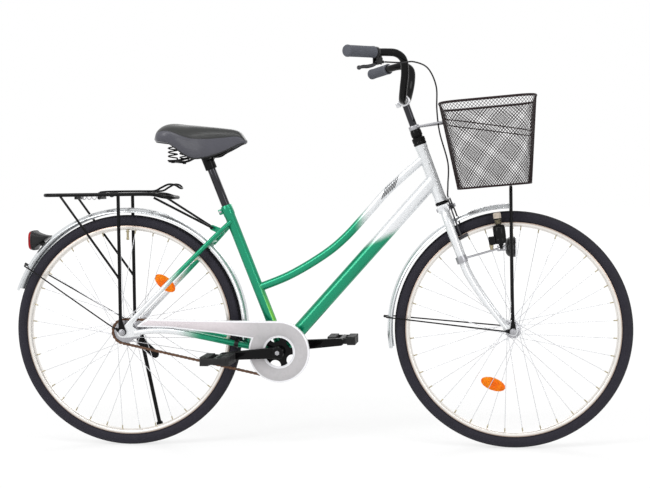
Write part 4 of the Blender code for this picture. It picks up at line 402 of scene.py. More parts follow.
def spun(profile, place, steps=64, turn=2 * pi, start=0.0):
    """A profile of (radius, height) spun about the Z axis of a place."""
    full = abs(turn - 2 * pi) < 1e-6
    shape = bmesh.new()
    corners = [shape.verts.new((radius, 0, height)) for radius, height in profile]
    edges = [shape.edges.new(pair) for pair in zip(corners, corners[1:])]
    if profile[0][0] > 0 or profile[-1][0] > 0:
        edges.append(shape.edges.new((corners[-1], corners[0])))
    bmesh.ops.spin(
        shape, geom=corners + edges, cent=(0, 0, 0), axis=(0, 0, 1), angle=turn,
        steps=steps, use_merge=full,
    )
    bmesh.ops.remove_doubles(shape, verts=shape.verts, dist=1e-6)
    loose = [edge for edge in shape.edges if not edge.link_faces]
    bmesh.ops.delete(shape, geom=loose, context="EDGES")
    if not full:
        ends = [edge for edge in shape.edges if edge.is_boundary]
        bmesh.ops.holes_fill(shape, edges=ends, sides=0)
    shape.transform(place @ Matrix.Rotation(start, 4, "Z"))
    return shape


def bevelled(shape, width, segments=2, sharper=30):
    """Rounds every edge that is sharper than an angle."""
    shape.normal_update()
    edges = [
        edge for edge in shape.edges
        if len(edge.link_faces) == 2 and edge.calc_face_angle(0) > radians(sharper)
    ]
    bmesh.ops.bevel(
        shape, geom=edges, offset=width, offset_type="OFFSET", segments=segments,
        profile=0.5, affect="EDGES", clamp_overlap=True, material=-1,
    )
    return shape


def drawn(shape, points):
    """A flat closed line of corners and edges."""
    corners = [shape.verts.new((x, y, 0)) for x, y in points]
    for pair in zip(corners, corners[1:] + corners[:1]):
        shape.edges.new(pair)
    return corners


def plate(outline, place, depth, bevel=0.0004, holes=(), segments=2):
    """An outline, with round holes of (x, y, radius), raised by a depth and bevelled."""
    shape = bmesh.new()
    corners = drawn(shape, outline)
    for x, y, radius in holes:
        drawn(shape, arc((x, y), radius, 0, 2 * pi, 24)[:-1])
    if holes:
        bmesh.ops.triangle_fill(shape, edges=list(shape.edges), use_beauty=True)
    else:
        shape.faces.new(corners)
    raised = only(VERT, bmesh.ops.extrude_face_region(shape, geom=list(shape.faces)))
    bmesh.ops.translate(shape, verts=raised, vec=(0, 0, depth))
    bmesh.ops.recalc_face_normals(shape, faces=shape.faces)
    if bevel:
        bevelled(shape, bevel, segments, 50)
    shape.transform(place)
    return shape


def axle_plates(outline, centre, inner, thickness, bevel):
    """The same plate on both sides, with a hole for the axle."""
    return [
        plate(outline, side_place(centre, left), thickness, bevel, [(0, 0, AXLE_HOLE)])
        for left in (inner, -inner - thickness)
    ]


def bar(start, end, diameter, sides=20, bevel=0.0004):
    """A round or hexagonal bar between two places, its ends eased."""
    span = end - start
    shape = bmesh.new()
    bmesh.ops.create_cone(
        shape, cap_ends=True, segments=sides, radius1=diameter / 2, radius2=diameter / 2,
        depth=span.length,
    )
    if bevel:
        bevelled(shape, min(bevel, span.length / 3), 2, 65 if sides > 6 else 45)
    shape.transform(axes_at((start + end) / 2, span))
    return shape


def across_bar(place, low, high, diameter, sides=24, bevel=0.0004):
    """A bar along Y through a place, between two distances to the left."""
    ends = (Vector((place.x, side, place.z)) for side in sorted((low, high)))
    return bar(*ends, diameter, sides, bevel)


def block(centre, size, turn=None, bevel=0.001, segments=3):
    """A box with rounded edges, turned by a matrix."""
    shape = bmesh.new()
    bmesh.ops.create_cube(shape, size=1)
    bmesh.ops.scale(shape, vec=size, verts=shape.verts)
    bevelled(shape, bevel, segments)
    shape.transform(Matrix.Translation(centre) @ (turn or Matrix()))
    return shape


def lofted(rows):
    """Closed rows of points joined one to the next, by extruding a ring and moving it."""
    shape = bmesh.new()
    ring = bmesh.ops.create_circle(shape, segments=len(rows[0]), radius=0.01)["verts"]
    loop, rings = list(shape.edges), []
    for row in rows:
        if rings:
            made = bmesh.ops.extrude_edge_only(shape, edges=loop)
            loop, fresh = only(EDGE, made), set(only(VERT, made))
            ring = [
                next(far for edge in near.link_edges if (far := edge.other_vert(near)) in fresh)
                for near in ring
            ]
        for corner, place in zip(ring, row):
            corner.co = place
        rings.append(ring)
    shape.faces.new(list(reversed(rings[0])))
    shape.faces.new(rings[-1])
    return shape, rings


SEAT_AXES = axes_at(Vector(), SEAT_UP, SEAT_AHEAD)
STEER_AXES = axes_at(Vector(), STEER_UP, STEER_AHEAD)


def eased(node, width=0.0004):
    """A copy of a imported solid, merged, with its sharp edges rounded."""
    shape = bmesh.new()
    shape.from_mesh(frame["nodes"][node].data)
    bmesh.ops.remove_doubles(shape, verts=shape.verts, dist=1e-6)
    bmesh.ops.dissolve_limit(
        shape, angle_limit=radians(1), verts=shape.verts, edges=shape.edges
    )
    return bevelled(shape, width, 2, 50)


# %% A finished piece
def joined(name, shapes):
    """One mesh of several bmeshes, which are freed."""
    mesh = bpy.data.meshes.new(name)
    whole = bmesh.new()
    for shape in shapes:
        shape.to_mesh(mesh)
        whole.from_mesh(mesh)
        shape.free()
    whole.to_mesh(mesh)
    whole.free()
    return mesh


def finished(name, body, look, shapes, replaces=None, sharp=50):
    """Joins bmeshes, shades them, gives them a finish and hangs them on a body."""
    shapes = shapes if isinstance(shapes, list) else [shapes]
    for shape in shapes:
        bmesh.ops.remove_doubles(shape, verts=shape.verts, dist=1e-6)
        bmesh.ops.recalc_face_normals(shape, faces=shape.faces)
    mesh = joined(name, shapes)
    mesh.shade_smooth()
    mesh.set_sharp_from_angle(angle=radians(sharp))
    mesh.materials.append(look.material)
    piece = placed(name, mesh)
    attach(piece, body)
    if replaces:
        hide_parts(replaces)
    print(f"{name}: {len(mesh.polygons)} faces on {body}")
    return piece


# %% [markdown]
# ## Finishes
#
# The frame is sprayed in two colours: green in the middle of the bicycle, fading to a silver
# white at the head, the fork and the rear ends. A mask from the object's own coordinates
# does the fade, so it stays put on the tubes. Tiny flakes and an orange-peel bump under a
# clear coat make it paint and not plastic.

# %% Frame paint
GREEN = tint(12, 152, 112)
DEEP_GREEN = tint(4, 130, 94)
# The lime below is the colour of a painted highlight along the seat tube's lower front edge.
LIME_HIGHLIGHT = tint(118, 196, 72)
PEARL = tint(226, 228, 230)


def sprayed(look, colour, flakes=0.05):
    """Fine metal flakes and orange peel under the clear coat."""
    flake = look.axis(0, look.cells(2600, output="Color"))
    spark = flake * flakes + (1 - flakes / 2)
    shade = look.noise(9, 3) * 0.08 + 0.22
    look.set(**{"Base Color": look.tinted(colour, spark), "Roughness": shade})
    look.bump(look.noise(240, 1), 0.00004, 0.12)


paint = Look("frame_green", GREEN, 0.3, 0.5, 0.4, gloss=0.2)
x, z = paint.axis(0), paint.axis(2)
soft = paint.noise(60, 2) * 0.010


def beyond(place, ahead, up):
    """How far a point of the side view lies from a place, in one direction."""
    return (x - place[0]) * ahead + (z - place[1]) * up


DOWN_AHEAD, DOWN_UP = 0.675, 0.738
TOP_AHEAD, TOP_UP = 0.757, 0.653
shell, top_tube = (BRACKET.x, BRACKET.z), (0.2199, 0.7657)
along_down = beyond(shell, DOWN_AHEAD, DOWN_UP)
above_down = beyond(shell, -DOWN_UP, DOWN_AHEAD)
on_down = 1 - above_down.rise(0.024, 0.027)
down_fade = (along_down + above_down * 2.2 + soft).rise(0.424, 0.480)
top_fade = (x + soft).rise(0.118, 0.168)
head_white = on_down * down_fade + (1 - on_down) * top_fade
lower_stay = (0.372 - z).rise(-0.02, 0.02) * (soft - x).rise(0.343, 0.430)
upper_stay = (z - 0.38).rise(0.0, 0.02) * (soft - x).rise(0.400, 0.465)
white = head_white.math("MAXIMUM", lower_stay.math("MAXIMUM", upper_stay))
white = white.math("MAXIMUM", (soft - x).rise(0.470, 0.500))
green = paint.mix(paint.noise(5, 2), GREEN, DEEP_GREEN)
# A painted highlight: a lime band down the seat tube's front edge, on its lower part.
front_edge_highlight = beyond(shell, SEAT_AHEAD.x, SEAT_AHEAD.z).band(0.0115, 0.002, 0.003)
on_seat_tube = (x + 0.19).rise(0, 0.02) * (-0.045 - x).rise(0, 0.01)
green = paint.mix(front_edge_highlight * (0.50 - z).rise(0.0, 0.12) * on_seat_tube, green, LIME_HIGHLIGHT)
faded = paint.mix(white, green, PEARL)

# Seven short black bars, leaning 20 degrees, at the top tube's front.
BARS, BAR_PITCH, BAR_LEAN = 7, 0.0040, radians(20)
along_top = beyond(top_tube, TOP_AHEAD, TOP_UP)
above_top = beyond(top_tube, -TOP_UP, TOP_AHEAD)
bars = (x * cos(BAR_LEAN) - z * sin(BAR_LEAN) + 0.0679) / BAR_PITCH
stroke = 1 - (bars.math("FRACT") - 0.5).math("ABSOLUTE").rise(0.31, 0.36)
stroke = stroke * bars.band(BARS / 2, BARS / 2 - 0.01, 0.02)
stroke = stroke * above_top.band(0.0005, 0.0088, 0.0008) * along_top.band(0.006, 0.07, 0.001)
sprayed(paint, paint.mix(stroke, faded, tint(8, 8, 9)))
silver = Look("silver_paint", tint(214, 217, 219), 0.22, 0.85, 0.4)
sprayed(silver, silver.colour[:3], 0.06)
fork_paint = Look("fork_paint", PEARL, 0.3, 0.4, 0.5)
sprayed(fork_paint, fork_paint.colour[:3])
print("paint:", len(paint.tree.nodes), "nodes")

# %% [markdown]
# Metals differ mostly in how rough they are. Chrome is smooth with faint polishing streaks,
# plated steel is duller with fine grain, and an alloy rim carries the fine circles of the
# lathe. Black paint on wire and bars is nearly even, with small runs and chips.


# %% Metals and black paint
def streaky(look, base, spread, scale, stretch=(1, 1, 1)):
    """Roughness and colour that vary in fine streaks, and small dull patches."""
    streak = look.noise(scale, 4, stretch, 0.7)
    look.set(Roughness=streak * spread + look.noise(14, 3) * spread * 0.6 + base)
    dark = tuple(value * 0.82 for value in look.colour[:3])
    look.coloured(look.noise(25, 4), look.colour, dark)
    look.bump(streak, 0.00004, 0.3)
    return look


def tube_chrome(slot, name=None):
    """Dark chrome, with streaks along an upright tube."""
    return streaky(Look(slot, tint(48, 48, 52), 0.12, 1.0, 0.4, name), 0.04, 0.08, 90, (6, 6, 1))


chrome = streaky(Look("chrome", tint(214, 215, 218), 0.12, 1.0), 0.06, 0.10, 90, (1, 1, 6))
chrome_tube, quill_chrome = tube_chrome("chrome_tube"), tube_chrome("chrome", "quill")
steel = streaky(Look("steel", tint(176, 176, 180), 0.35, 1.0), 0.22, 0.18, 260)
dark_steel = Look("steel", tint(66, 66, 69), 0.35, 0.9, 0.3, "dark_steel")
streaky(dark_steel, 0.25, 0.15, 200)


def black_coat(slot, colour, roughness):
    look = Look(slot, colour, roughness, 0.0, 0.14, gloss=0.06)
    worn = tuple(value * 3 + 0.01 for value in colour)
    look.coloured(look.cells(260).rise(0.0, 0.09), worn, colour)
    look.set(Roughness=look.noise(30, 3) * 0.16 + roughness - 0.08)
    look.bump(look.noise(300, 2), 0.00006, 0.3)
    return look


black_paint = black_coat("black_paint", tint(11, 11, 12), 0.30)
black_tube = black_coat("black_tube", tint(12, 12, 13), 0.22)
basket_coat = black_coat("basket_wire", tint(40, 30, 31), 0.45)
dynamo_coat = black_coat("dynamo_case", tint(16, 16, 17), 0.34)
print("metals ready")

# %% [markdown]
# Rubber and plastics are matt and finely grained. The tyre reads its own angle round the
# axle, so its blocks run round the tread and its fine ribs stay on the side walls. Each
# wheel has its own copy, because the angle is counted from its own axle.


# %% Rubber
def tyre_finish(name, centre):
    look = Look("tyre", tint(36, 35, 44), 0.75, name=name, gloss=0.3)
    x, y, z = look.axis(0) - centre.x, look.axis(1), look.axis(2) - centre.z
    reach = (x * x + z * z) ** 0.5
    angle = z.math("ARCTAN2", x)
    tread = reach.rise(WHEEL_RADIUS - 0.0075, WHEEL_RADIUS - 0.0060)
    slant = (y.math("ABSOLUTE") * 260 + angle * 190).math("SINE").rise(-0.55, 0.05)
    centre_rib = y.math("ABSOLUTE").rise(0.0012, 0.0022)
    cross = 1 - (1 - slant) * centre_rib
    lengthwise = (y * 1150).math("SINE").rise(-0.75, -0.2)
    blocks = cross * lengthwise
    side_ribs = (reach * 2900).math("SINE") * 0.5 + 0.5
    bead_ribs = (angle * 300).math("SINE").rise(-0.2, 0.2)
    wall = side_ribs * 0.35 + bead_ribs * reach.band(RIM_RADIUS + 0.012, 0.004, 0.001) * 0.5
    height = blocks * tread + wall * (1 - tread)
    # Darker at random and, as painted shade, darker in the grooves between the tread blocks.
    tone_and_groove_shade = look.noise(22, 4) * 0.5 + (1 - blocks) * tread * 0.6
    look.coloured(tone_and_groove_shade, tint(38, 36, 47), tint(22, 21, 25))
    look.set(Roughness=look.noise(60, 2) * 0.14 + 0.66)
    look.bump(height, 0.0011, 0.9)
    return look


def moulded(slot, colour, roughness, grain=900, depth=0.00008, coat=0.0):
    """Fine moulding grain, soft unevenness and lighter rubbed places."""
    look = Look(slot, colour, roughness, 0.0, coat, gloss=0.3)
    rubbed = tuple(min(1, value * 1.35 + 0.006) for value in colour)
    look.coloured(look.noise(35, 4), colour, rubbed)
    look.set(Roughness=look.noise(80, 3) * 0.14 + roughness - 0.07)
    look.bump(look.noise(grain, 2), depth, 0.5)
    return look


front_rubber = tyre_finish("front_tyre", FRONT)
rear_rubber = tyre_finish("rear_tyre", REAR)
grip_rubber = moulded("grip", tint(74, 76, 83), 0.62, 700, 0.0001)
black_plastic = moulded("black_plastic", tint(17, 17, 18), 0.40)
cream_plastic = moulded("cream", tint(192, 181, 168), 0.5)
print("rubber and plastic ready")

# %% [markdown]
# The chain guard is pale lilac-grey with a white edge all round. Which faces are edge is
# known while the panel is made, so it is written on the mesh as an attribute and the
# finish only reads it.

# %% Chain guard plastic
guard_plastic = moulded("lilac", tint(205, 198, 208), 0.28, 500, 0.00005, 0.5)
edge_mark = guard_plastic.node("ShaderNodeAttribute", output="Fac", attribute_name="edge")
ring_shade, tail_shade = (
    guard_plastic.mix(guard_plastic.noise(7, 3), tint(*low), tint(*high))
    for low, high in (((178, 176, 178), (190, 187, 189)), ((206, 197, 201), (216, 209, 212)))
)
behind = (-0.16 - guard_plastic.axis(0)).rise(0.0, 0.12)
shade = guard_plastic.mix(behind, ring_shade, tail_shade)
guard_plastic.coloured(edge_mark, shade, tint(240, 240, 243))

# %% [markdown]
# Reflectors and lenses get their look from small prisms behind a smooth face. A Voronoi
# grid of cells stands in for the prisms: each cell tilts the light its own way, so the
# surface sparkles when the view moves. The orange ones are lighter in patches.


# %% Reflectors and lenses
def prismatic(slot, colour, edge_colour, pitch):
    look = Look(slot, colour, 0.18, 0.0, 0.12, gloss=0.1)
    cell, shade = look.cells(1 / pitch), look.cells(1 / pitch, "Color")
    mixed = look.mix(look.noise(40, 1).rise(0.35, 0.7), colour, edge_colour)
    look.set(**{"Base Color": look.tinted(mixed, look.axis(0, shade) * 0.30 + 0.80)})
    look.bump(cell, 0.0009, 0.7)
    return look


orange = prismatic("orange", tint(240, 104, 2), tint(242, 138, 8), 0.0038)
red_lens = prismatic("red_lens", tint(168, 14, 22), tint(120, 6, 12), 0.0045)
clear_lens = Look("clear_lens", tint(232, 238, 242), 0.06, 0.0, 1.0)
ribs = (clear_lens.axis(1) * 1300).math("SINE")
rows = (clear_lens.axis(2) * 700).math("SINE")
# Painted shade: the glass is coloured darker in stripes along its ribs, standing in for how the
# ribs bend the light.
clear_lens.coloured(ribs * 0.5 + 0.5, tint(236, 241, 244), tint(176, 186, 194))
clear_lens.bump(ribs + rows * 0.6, 0.0006, 0.6)
print("reflectors and lenses ready")

# %% [markdown]
# ## Wheels
#
# Both wheels are the same but for the hub. The tyre and the rim are profiles spun round the
# axle, with enough points that the side walls bulge and the rim shows its braking track.
# Spinning keeps them perfectly true, which a sculpted ring would not be.

# %% Rim metal with the lathe's circles
rim_metal = Look("alloy", tint(206, 203, 198), 0.3, 0.9)
from_axle = rim_metal.axis(0).math("ABSOLUTE") - WHEELBASE / 2
reach_out = (from_axle ** 2 + (rim_metal.axis(2) - WHEEL_RADIUS) ** 2) ** 0.5
rim_metal.set(Roughness=rim_metal.noise(30, 3) * 0.15 + 0.24)
rim_metal.bump((reach_out * 9000).math("SINE"), 0.00003, 0.5)
rim_shade = rim_metal.mix(rim_metal.noise(12, 3), tint(240, 237, 233), tint(222, 217, 210))
# The rim is coloured darker and browner towards the tyre.
darker_near_tyre = reach_out.rise(RIM_RADIUS - 0.0052, RIM_RADIUS - 0.0016)
rim_metal.coloured(darker_near_tyre, rim_shade, tint(172, 154, 142))


# %% Tyre and rim
def tyre(name, centre, body, look, node):
    half_seat = RIM_WIDTH / 2 - 0.0028
    middle = RIM_RADIUS + TYRE_HEIGHT * 0.48
    half = [(RIM_RADIUS - 0.007, half_seat), (RIM_RADIUS + 0.0008, half_seat)]
    half += [
        (
            middle + (WHEEL_RADIUS - middle) * sin(angle),
            TYRE_WIDTH / 2 * cos(angle) ** 0.86,
        )
        for angle in (radians(-38 + 8 * i) for i in range(16))
    ]
    half.append((WHEEL_RADIUS, 0.0018))
    finished(name, body, look, spun(both_sides(half), wheel_place(centre), 168), node)


def rim(name, centre, body, node):
    inside, outside = RIM_WIDTH / 2 - 0.0025, RIM_WIDTH / 2
    half = [
        (RIM_RADIUS - 0.0075, inside), (RIM_RADIUS - 0.0004, inside),
        (RIM_RADIUS, inside + 0.0006), (RIM_RADIUS, outside - 0.0006),
        (RIM_RADIUS - 0.0006, outside), (RIM_RADIUS - 0.0085, outside),
        (RIM_RADIUS - 0.0095, outside - 0.0008), (RIM_INNER + 0.0030, outside - 0.0030),
        (RIM_INNER + 0.0008, outside - 0.0062), (RIM_INNER, outside - 0.0090),
    ]
    finished(name, body, rim_metal, spun(both_sides(half), wheel_place(centre), 168), node)


for name, centre, rubber in (("front", FRONT, front_rubber), ("rear", REAR, rear_rubber)):
    tyre(f"{name}_tyre_rubber", centre, f"{name}_wheel", rubber, f"{name}_tyre")
    rim(f"{name}_rim_alloy", centre, f"{name}_wheel", f"{name}_rim")

# %% [markdown]
# Thirty-six spokes cross between the hub's flanges and the rim, leaning forward and backward
# by turns. A loop places them, because they follow one rule: even angles at the rim, a fixed
# lean at the flange. Brass nipples and a valve finish the rim.

# %% Spokes and hubs
SPOKES, SPOKE_LEAN, FLANGE_SPACING = 36, radians(58), 0.066
brass = streaky(Look("steel", tint(178, 168, 140), 0.3, 1.0, name="nipple"), 0.2, 0.15, 200)
spoke_steel = Look("steel", tint(222, 223, 226), 0.3, 0.7, name="spoke")
streaky(spoke_steel, 0.16, 0.12, 200)


def spoke_ends(centre, flange_radius, index):
    """Where a spoke leaves its flange and where it meets the rim."""
    step = 2 * pi / SPOKES
    side = 1 if index % 2 else -1
    leading = (index // 2) % 2 == 0
    tip = (index + 0.5) * step
    root = tip + (SPOKE_LEAN if leading else -SPOKE_LEAN)
    lift = 0.0015 if leading else -0.0015
    places = []
    for radius, angle, left in (
        (flange_radius - 0.003, root, FLANGE_SPACING / 2 + lift),
        (RIM_INNER + 0.001, tip, 0.003 + lift * 0.7),
    ):
        turn = Vector((cos(angle), 0, sin(angle)))
        places.append(centre + turn * radius + LEFT * side * left)
    return places


def hub(name, centre, body, hub_radius, flange_radius, node):
    face = FLANGE_SPACING / 2 + 0.0025
    half = [
        (AXLE_HOLE, face), (flange_radius * 0.62, face), (flange_radius * 0.66, face - 0.0008),
        (flange_radius - 0.0008, face - 0.0008), (flange_radius, face - 0.0016),
        (flange_radius, face - 0.0040), (flange_radius - 0.001, face - 0.0048),
        (hub_radius + 0.003, face - 0.0050), (hub_radius, face - 0.009),
        (hub_radius - 0.001, face * 0.35), (hub_radius - 0.001, 0.001),
    ]
    shapes = [spun(both_sides(half), wheel_place(centre), 72)]
    wires, nipples = [], []
    for i in range(SPOKES):
        root, tip = spoke_ends(centre, flange_radius, i)
        along = (tip - root).normalized()
        wires.append(bar(root, tip, 0.002, 8, 0))
        wires.append(bar(root - LEFT * 0.003, root + LEFT * 0.003, 0.0034, 8, 0))
        nipples.append(bar(tip - along * 0.011, tip + along * 0.001, 0.0036, 8, 0.0003))
    finished(f"{name}_hub_shell", body, steel, shapes, node)
    finished(f"{name}_spokes", body, spoke_steel, wires, node)
    valve = centre + UP * RIM_INNER
    for low, high, size, bevel in (
        (-0.026, 0.004, 0.0072, 0.0008), (-0.006, -0.003, 0.012, 0.0006),
        (-0.030, -0.022, 0.0086, 0.0012),
    ):
        nipples.append(bar(valve + UP * low, valve + UP * high, size, 20, bevel))
    finished(f"{name}_nipples_and_valve", body, brass, nipples)


hub("front", FRONT, "front_wheel", 0.014, 0.022, "front_hub")
hub("rear", REAR, "rear_wheel", 0.026, 0.034, "rear_hub")

# %% [markdown]
# The two spoke reflectors are ovals clipped between the spokes. Their place and tilt are
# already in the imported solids, so a merged and bevelled copy of each is all that is needed.

# %% Reflectors on the spokes
for end in ("front", "rear"):
    node = f"{end}_reflector"
    finished(f"{node}_lens", f"{end}_wheel", orange, eased(node, 0.0012), node, 60)

# %% [markdown]
# ## Axles, nuts and small bolted parts
#
# Nuts are six-sided bars with eased corners, and cones and washers are round ones. They sit
# in a stack along the axle, so each is given by where it starts and ends.

# %% Axle stacks
DROPOUT_INNER, DROPOUT_THICKNESS = 0.0585, 0.005
FORK_DROPOUT_INNER = 0.0503
HUB_FACE = FLANGE_SPACING / 2 + 0.0025
FRONT_STAY_EYELET = FORK_DROPOUT_INNER + 0.005 + GAP
FRONT_FENDER_EYELET = FRONT_STAY_EYELET + 0.003 + GAP
FRONT_NUT = FRONT_FENDER_EYELET + 0.0025 + GAP
RACK_EYELET_INNER = DROPOUT_INNER + DROPOUT_THICKNESS + GAP
REAR_FENDER_EYELET = RACK_EYELET_INNER + 0.003 + GAP
REAR_NUT = REAR_FENDER_EYELET + 0.0025 + GAP
LEFT_NUT = REAR_NUT + 0.004 + GAP


def nut(place, low, high):
    """A hexagon with a thin round washer face on its inner side."""
    near, far = sorted((low, high), key=abs)
    step = copysign(0.0012, far)
    return [
        across_bar(place, near, near + step, 0.0195, 32, 0.0003),
        across_bar(place, near + step, far, 0.017, 6, 0.0009),
    ]


shapes = [across_bar(FRONT, -FRONT_NUT - 0.011, FRONT_NUT + 0.011, 0.0094, 24, 0.0008)]
for side in (1, -1):
    cone = side * (HUB_FACE + GAP), side * (FORK_DROPOUT_INNER - GAP)
    shapes.append(across_bar(FRONT, *cone, 0.015))
    shapes += nut(FRONT, side * FRONT_NUT, side * (FRONT_NUT + 0.008))
finished("front_axle_and_nuts", "steering", steel, shapes, "front_axle")
shapes = [
    across_bar(REAR, -REAR_NUT - 0.011, LEFT_NUT + 0.011, 0.0094, 24, 0.0008),
    across_bar(REAR, -DROPOUT_INNER + GAP, -0.0448, 0.016),
    across_bar(REAR, 0.0391, DROPOUT_INNER - GAP, 0.016),
]
shapes += nut(REAR, -REAR_NUT, -REAR_NUT - 0.008) + nut(REAR, LEFT_NUT, LEFT_NUT + 0.008)
finished("rear_axle_and_nuts", "bike", steel, shapes, "rear_axle")

# %% Small solids that keep their shape, with eased edges
for node, body, look in (
    ("seat_bolt", "bike", steel), ("coaster_arm", "bike", steel),
    ("stand_bracket", "bike", black_paint), ("caliper_bolt", "steering", steel),
    ("basket_bracket", "steering", steel), ("dynamo_bracket", "steering", steel),
    ("brake_lever_perch", "steering", black_plastic),
    ("caliper_arm_right", "caliper_right", dark_steel),
    ("caliper_arm_left", "caliper_left", dark_steel),
):
    finished(f"{node}_finished", body, look, eased(node), node)

# %% [markdown]
# ## Frame
#
# A low frame has a top tube that dips. Each tube is a circle swept along its line, and the
# tubes simply run into each other as brazed tubes do. A thin bead where two tubes meet the
# bracket's shell catches the light as the real frame's weld does.

# %% Frame lines
SEAT_TUBE_TOP = BRACKET + SEAT_UP * 0.460
HEAD_START, HEAD_END = 0.400, 0.578
STAY_LEFT = DROPOUT_INNER + DROPOUT_THICKNESS / 2 - 0.0005
SEAT_STAY_START, SEAT_STAY_END = rear(0.007, 0.014), BRACKET + SEAT_UP * 0.412
CHAIN_STAY = [
    BRACKET + Vector((-0.020, 0.022, 0.004)),
    REAR + Vector((CHAIN_STAY_REACH * 0.79, 0.0315, -BRACKET_DROP * 0.76)),
    REAR + Vector((CHAIN_STAY_REACH * 0.32, 0.0505, 0.001)),
    REAR + Vector((0.036, STAY_LEFT, -0.002)),
]


def seat_stay(share, left=0.0):
    return SEAT_STAY_START.lerp(SEAT_STAY_END, share) + LEFT * left


SEAT_STAY = [
    seat_stay(0.06, STAY_LEFT), seat_stay(0.45, STAY_LEFT - 0.005), seat_stay(0.82, 0.038),
    seat_stay(1.0, 0.012),
]
RACK_TAB = rear(0.262, 0.307)
joint = BRACKET + SEAT_UP * 0.197
chord = steer(0.540) - joint
below = Vector((chord.z, 0, -chord.x)).normalized()
dip = ((0.16, 0.66), (0.34, 1.0), (0.47, 0.97), (0.62, 0.62), (0.78, 0.20))
TOP_TUBE = [joint] + [joint + chord * t + below * (0.043 * depth) for t, depth in dip]
TOP_TUBE.append(steer(0.540))
down_axis = (steer(0.468) - BRACKET).normalized()


def bead(place, up, radius, thickness=0.0035):
    """A weld bead: a thin ring round a tube, or where one tube meets another."""
    ring = [(radius + thickness / 2 * cos(a), thickness * 0.8 * sin(a))
            for a in (pi / 4 * i for i in range(8))]
    return spun(ring, axes_at(place, up), 40)


# %% Frame tubes
bridge = REAR + (seat_stay(0.82) - REAR).normalized() * 0.3768
upper_bridge = seat_stay(0.90)
tab = ((RACK_TAB - upper_bridge).x, (RACK_TAB - upper_bridge).z)
clamp_bolt = SEAT_TUBE_TOP - SEAT_UP * 0.010 - SEAT_AHEAD * 0.0209
shell_profile = both_sides([(0.0175, 0.034), (0.0202, 0.034), (0.021, 0.0332), (0.021, 0.001)])
head_profile = [
    (0.015, 0), (0.0172, 0), (0.0186, 0.001), (0.0186, 0.010), (0.0175, 0.014),
    (0.0175, 0.164), (0.0186, 0.168), (0.0186, 0.177), (0.0172, 0.178), (0.015, 0.178),
]
seat_profile = [
    (0.0133, 0.0), (0.0159, 0.0), (0.0159, 0.428), (0.0170, 0.430), (0.0170, 0.4593),
    (0.0164, 0.460), (0.0133, 0.460),
]
shapes = [
    spun(shell_profile, wheel_place(BRACKET), 48),
    spun(seat_profile, axes_at(BRACKET + SEAT_UP * 0.002, SEAT_UP), 40),
    bar(BRACKET + down_axis * 0.008, steer(0.468), 0.042, 48, 0),
    spun(head_profile, axes_at(steer(HEAD_START), STEER_UP), 48),
    swept(smooth(TOP_TUBE, 8), 0.0255, 32),
    across_bar(bridge, -0.040, 0.040, 0.012), across_bar(upper_bridge, -0.026, 0.026, 0.010),
    plate(slot_outline((0, 0), tab, 0.009, 0.008), side_place(upper_bridge, -0.003), 0.006,
          0.0006, [(*tab, 0.0035)]),
    bead(BRACKET + SEAT_UP * 0.024, SEAT_UP, 0.0157),
    bead(BRACKET + down_axis * 0.026, down_axis, 0.0208),
]
dropout = arc((0, 0), 0.017, radians(80), radians(280), 24) + [
    (0.020, -0.0165), (0.036, -0.014), (0.052, -0.013), (0.053, 0.004), (0.040, 0.008),
    (0.031, 0.016), (0.032, 0.024), (0.050, 0.045), (0.040, 0.055),
]
stay_sizes = [0.0185] * 17 + [0.0185 - 0.004 * i / 8 for i in range(1, 9)]
for side, turn in ((1, Vector), (-1, mirrored)):
    ear = clamp_bolt + SEAT_AHEAD * 0.002 + LEFT * side * 0.0045
    shapes += [
        block(ear, (0.016, 0.007, 0.016), SEAT_AXES, 0.0015),
        swept(smooth([turn(point) for point in CHAIN_STAY], 8), stay_sizes, 28),
        swept(smooth([turn(point) for point in SEAT_STAY], 8), 0.014, 28),
    ]
shapes += axle_plates(dropout, REAR, DROPOUT_INNER, DROPOUT_THICKNESS, 0.0008)
shapes.append(block(rear(0.3733, -0.0288), (0.006, 0.060, 0.036), None, 0.002))
finished("frame_painted", "bike", paint, shapes, "frame")

# %% [markdown]
# The bearings show as rings: the bottom bracket's plated cups beside the cranks, and the
# headset's black cups and lock nut above and below the head tube.

# %% Bearings
cup = both_sides([
    (0.0095, 0.038), (0.0192, 0.038), (0.020, 0.0372), (0.020, 0.0343), (0.017, 0.0343),
])
finished("bottom_bracket_cups", "bike", steel, spun(cup, wheel_place(BRACKET), 48),
         "bottom_bracket_cartridge")
ring = [
    (0.0136, -0.008), (0.0141, -0.008), (0.0141, 0.0003), (0.0180, 0.0003), (0.0195, 0.0018),
    (0.0195, 0.0062), (0.0185, 0.0078), (0.0185, 0.009), (0.0136, 0.009),
]
for name, place, up in (("upper", HEAD_END, STEER_UP), ("lower", HEAD_START, -STEER_UP)):
    shape = spun(ring, axes_at(steer(place), up), 48)
    finished(f"{name}_headset_ring", "bike", black_paint, shape, f"{name}_headset_cup")
NUT_START = HEAD_END + 0.0096
cone = [
    (0.0133, 0), (0.0190, 0), (0.0195, 0.001), (0.0195, 0.0115), (0.0183, 0.0125),
    (0.0150, 0.0150), (0.0150, 0.0170), (0.0168, 0.0180), (0.0168, 0.0320),
    (0.0158, 0.0345), (0.0150, 0.0375), (0.0133, 0.0375),
]
finished("headset_locknut", "steering", black_paint,
         spun(cone, axes_at(steer(NUT_START), STEER_UP), 48), "headset_nut")

# %% [markdown]
# ## Fork, stem, handlebar and grips
#
# The fork's blades taper and sweep forward, so their circle shrinks along the path. The
# crown is a bevelled block, the bar one long swept tube, and the grips are spun with ribs.

# %% Fork
CROWN_TOP = HEAD_START - 0.0096
CROWN_MIDDLE, CROWN_START = CROWN_TOP - 0.01225, CROWN_TOP - 0.0245
BLADE_TIP, BLADE_BEND, BLADE_TOP, BLADE_SPREAD = -0.012, 0.190, 0.30, 0.0445


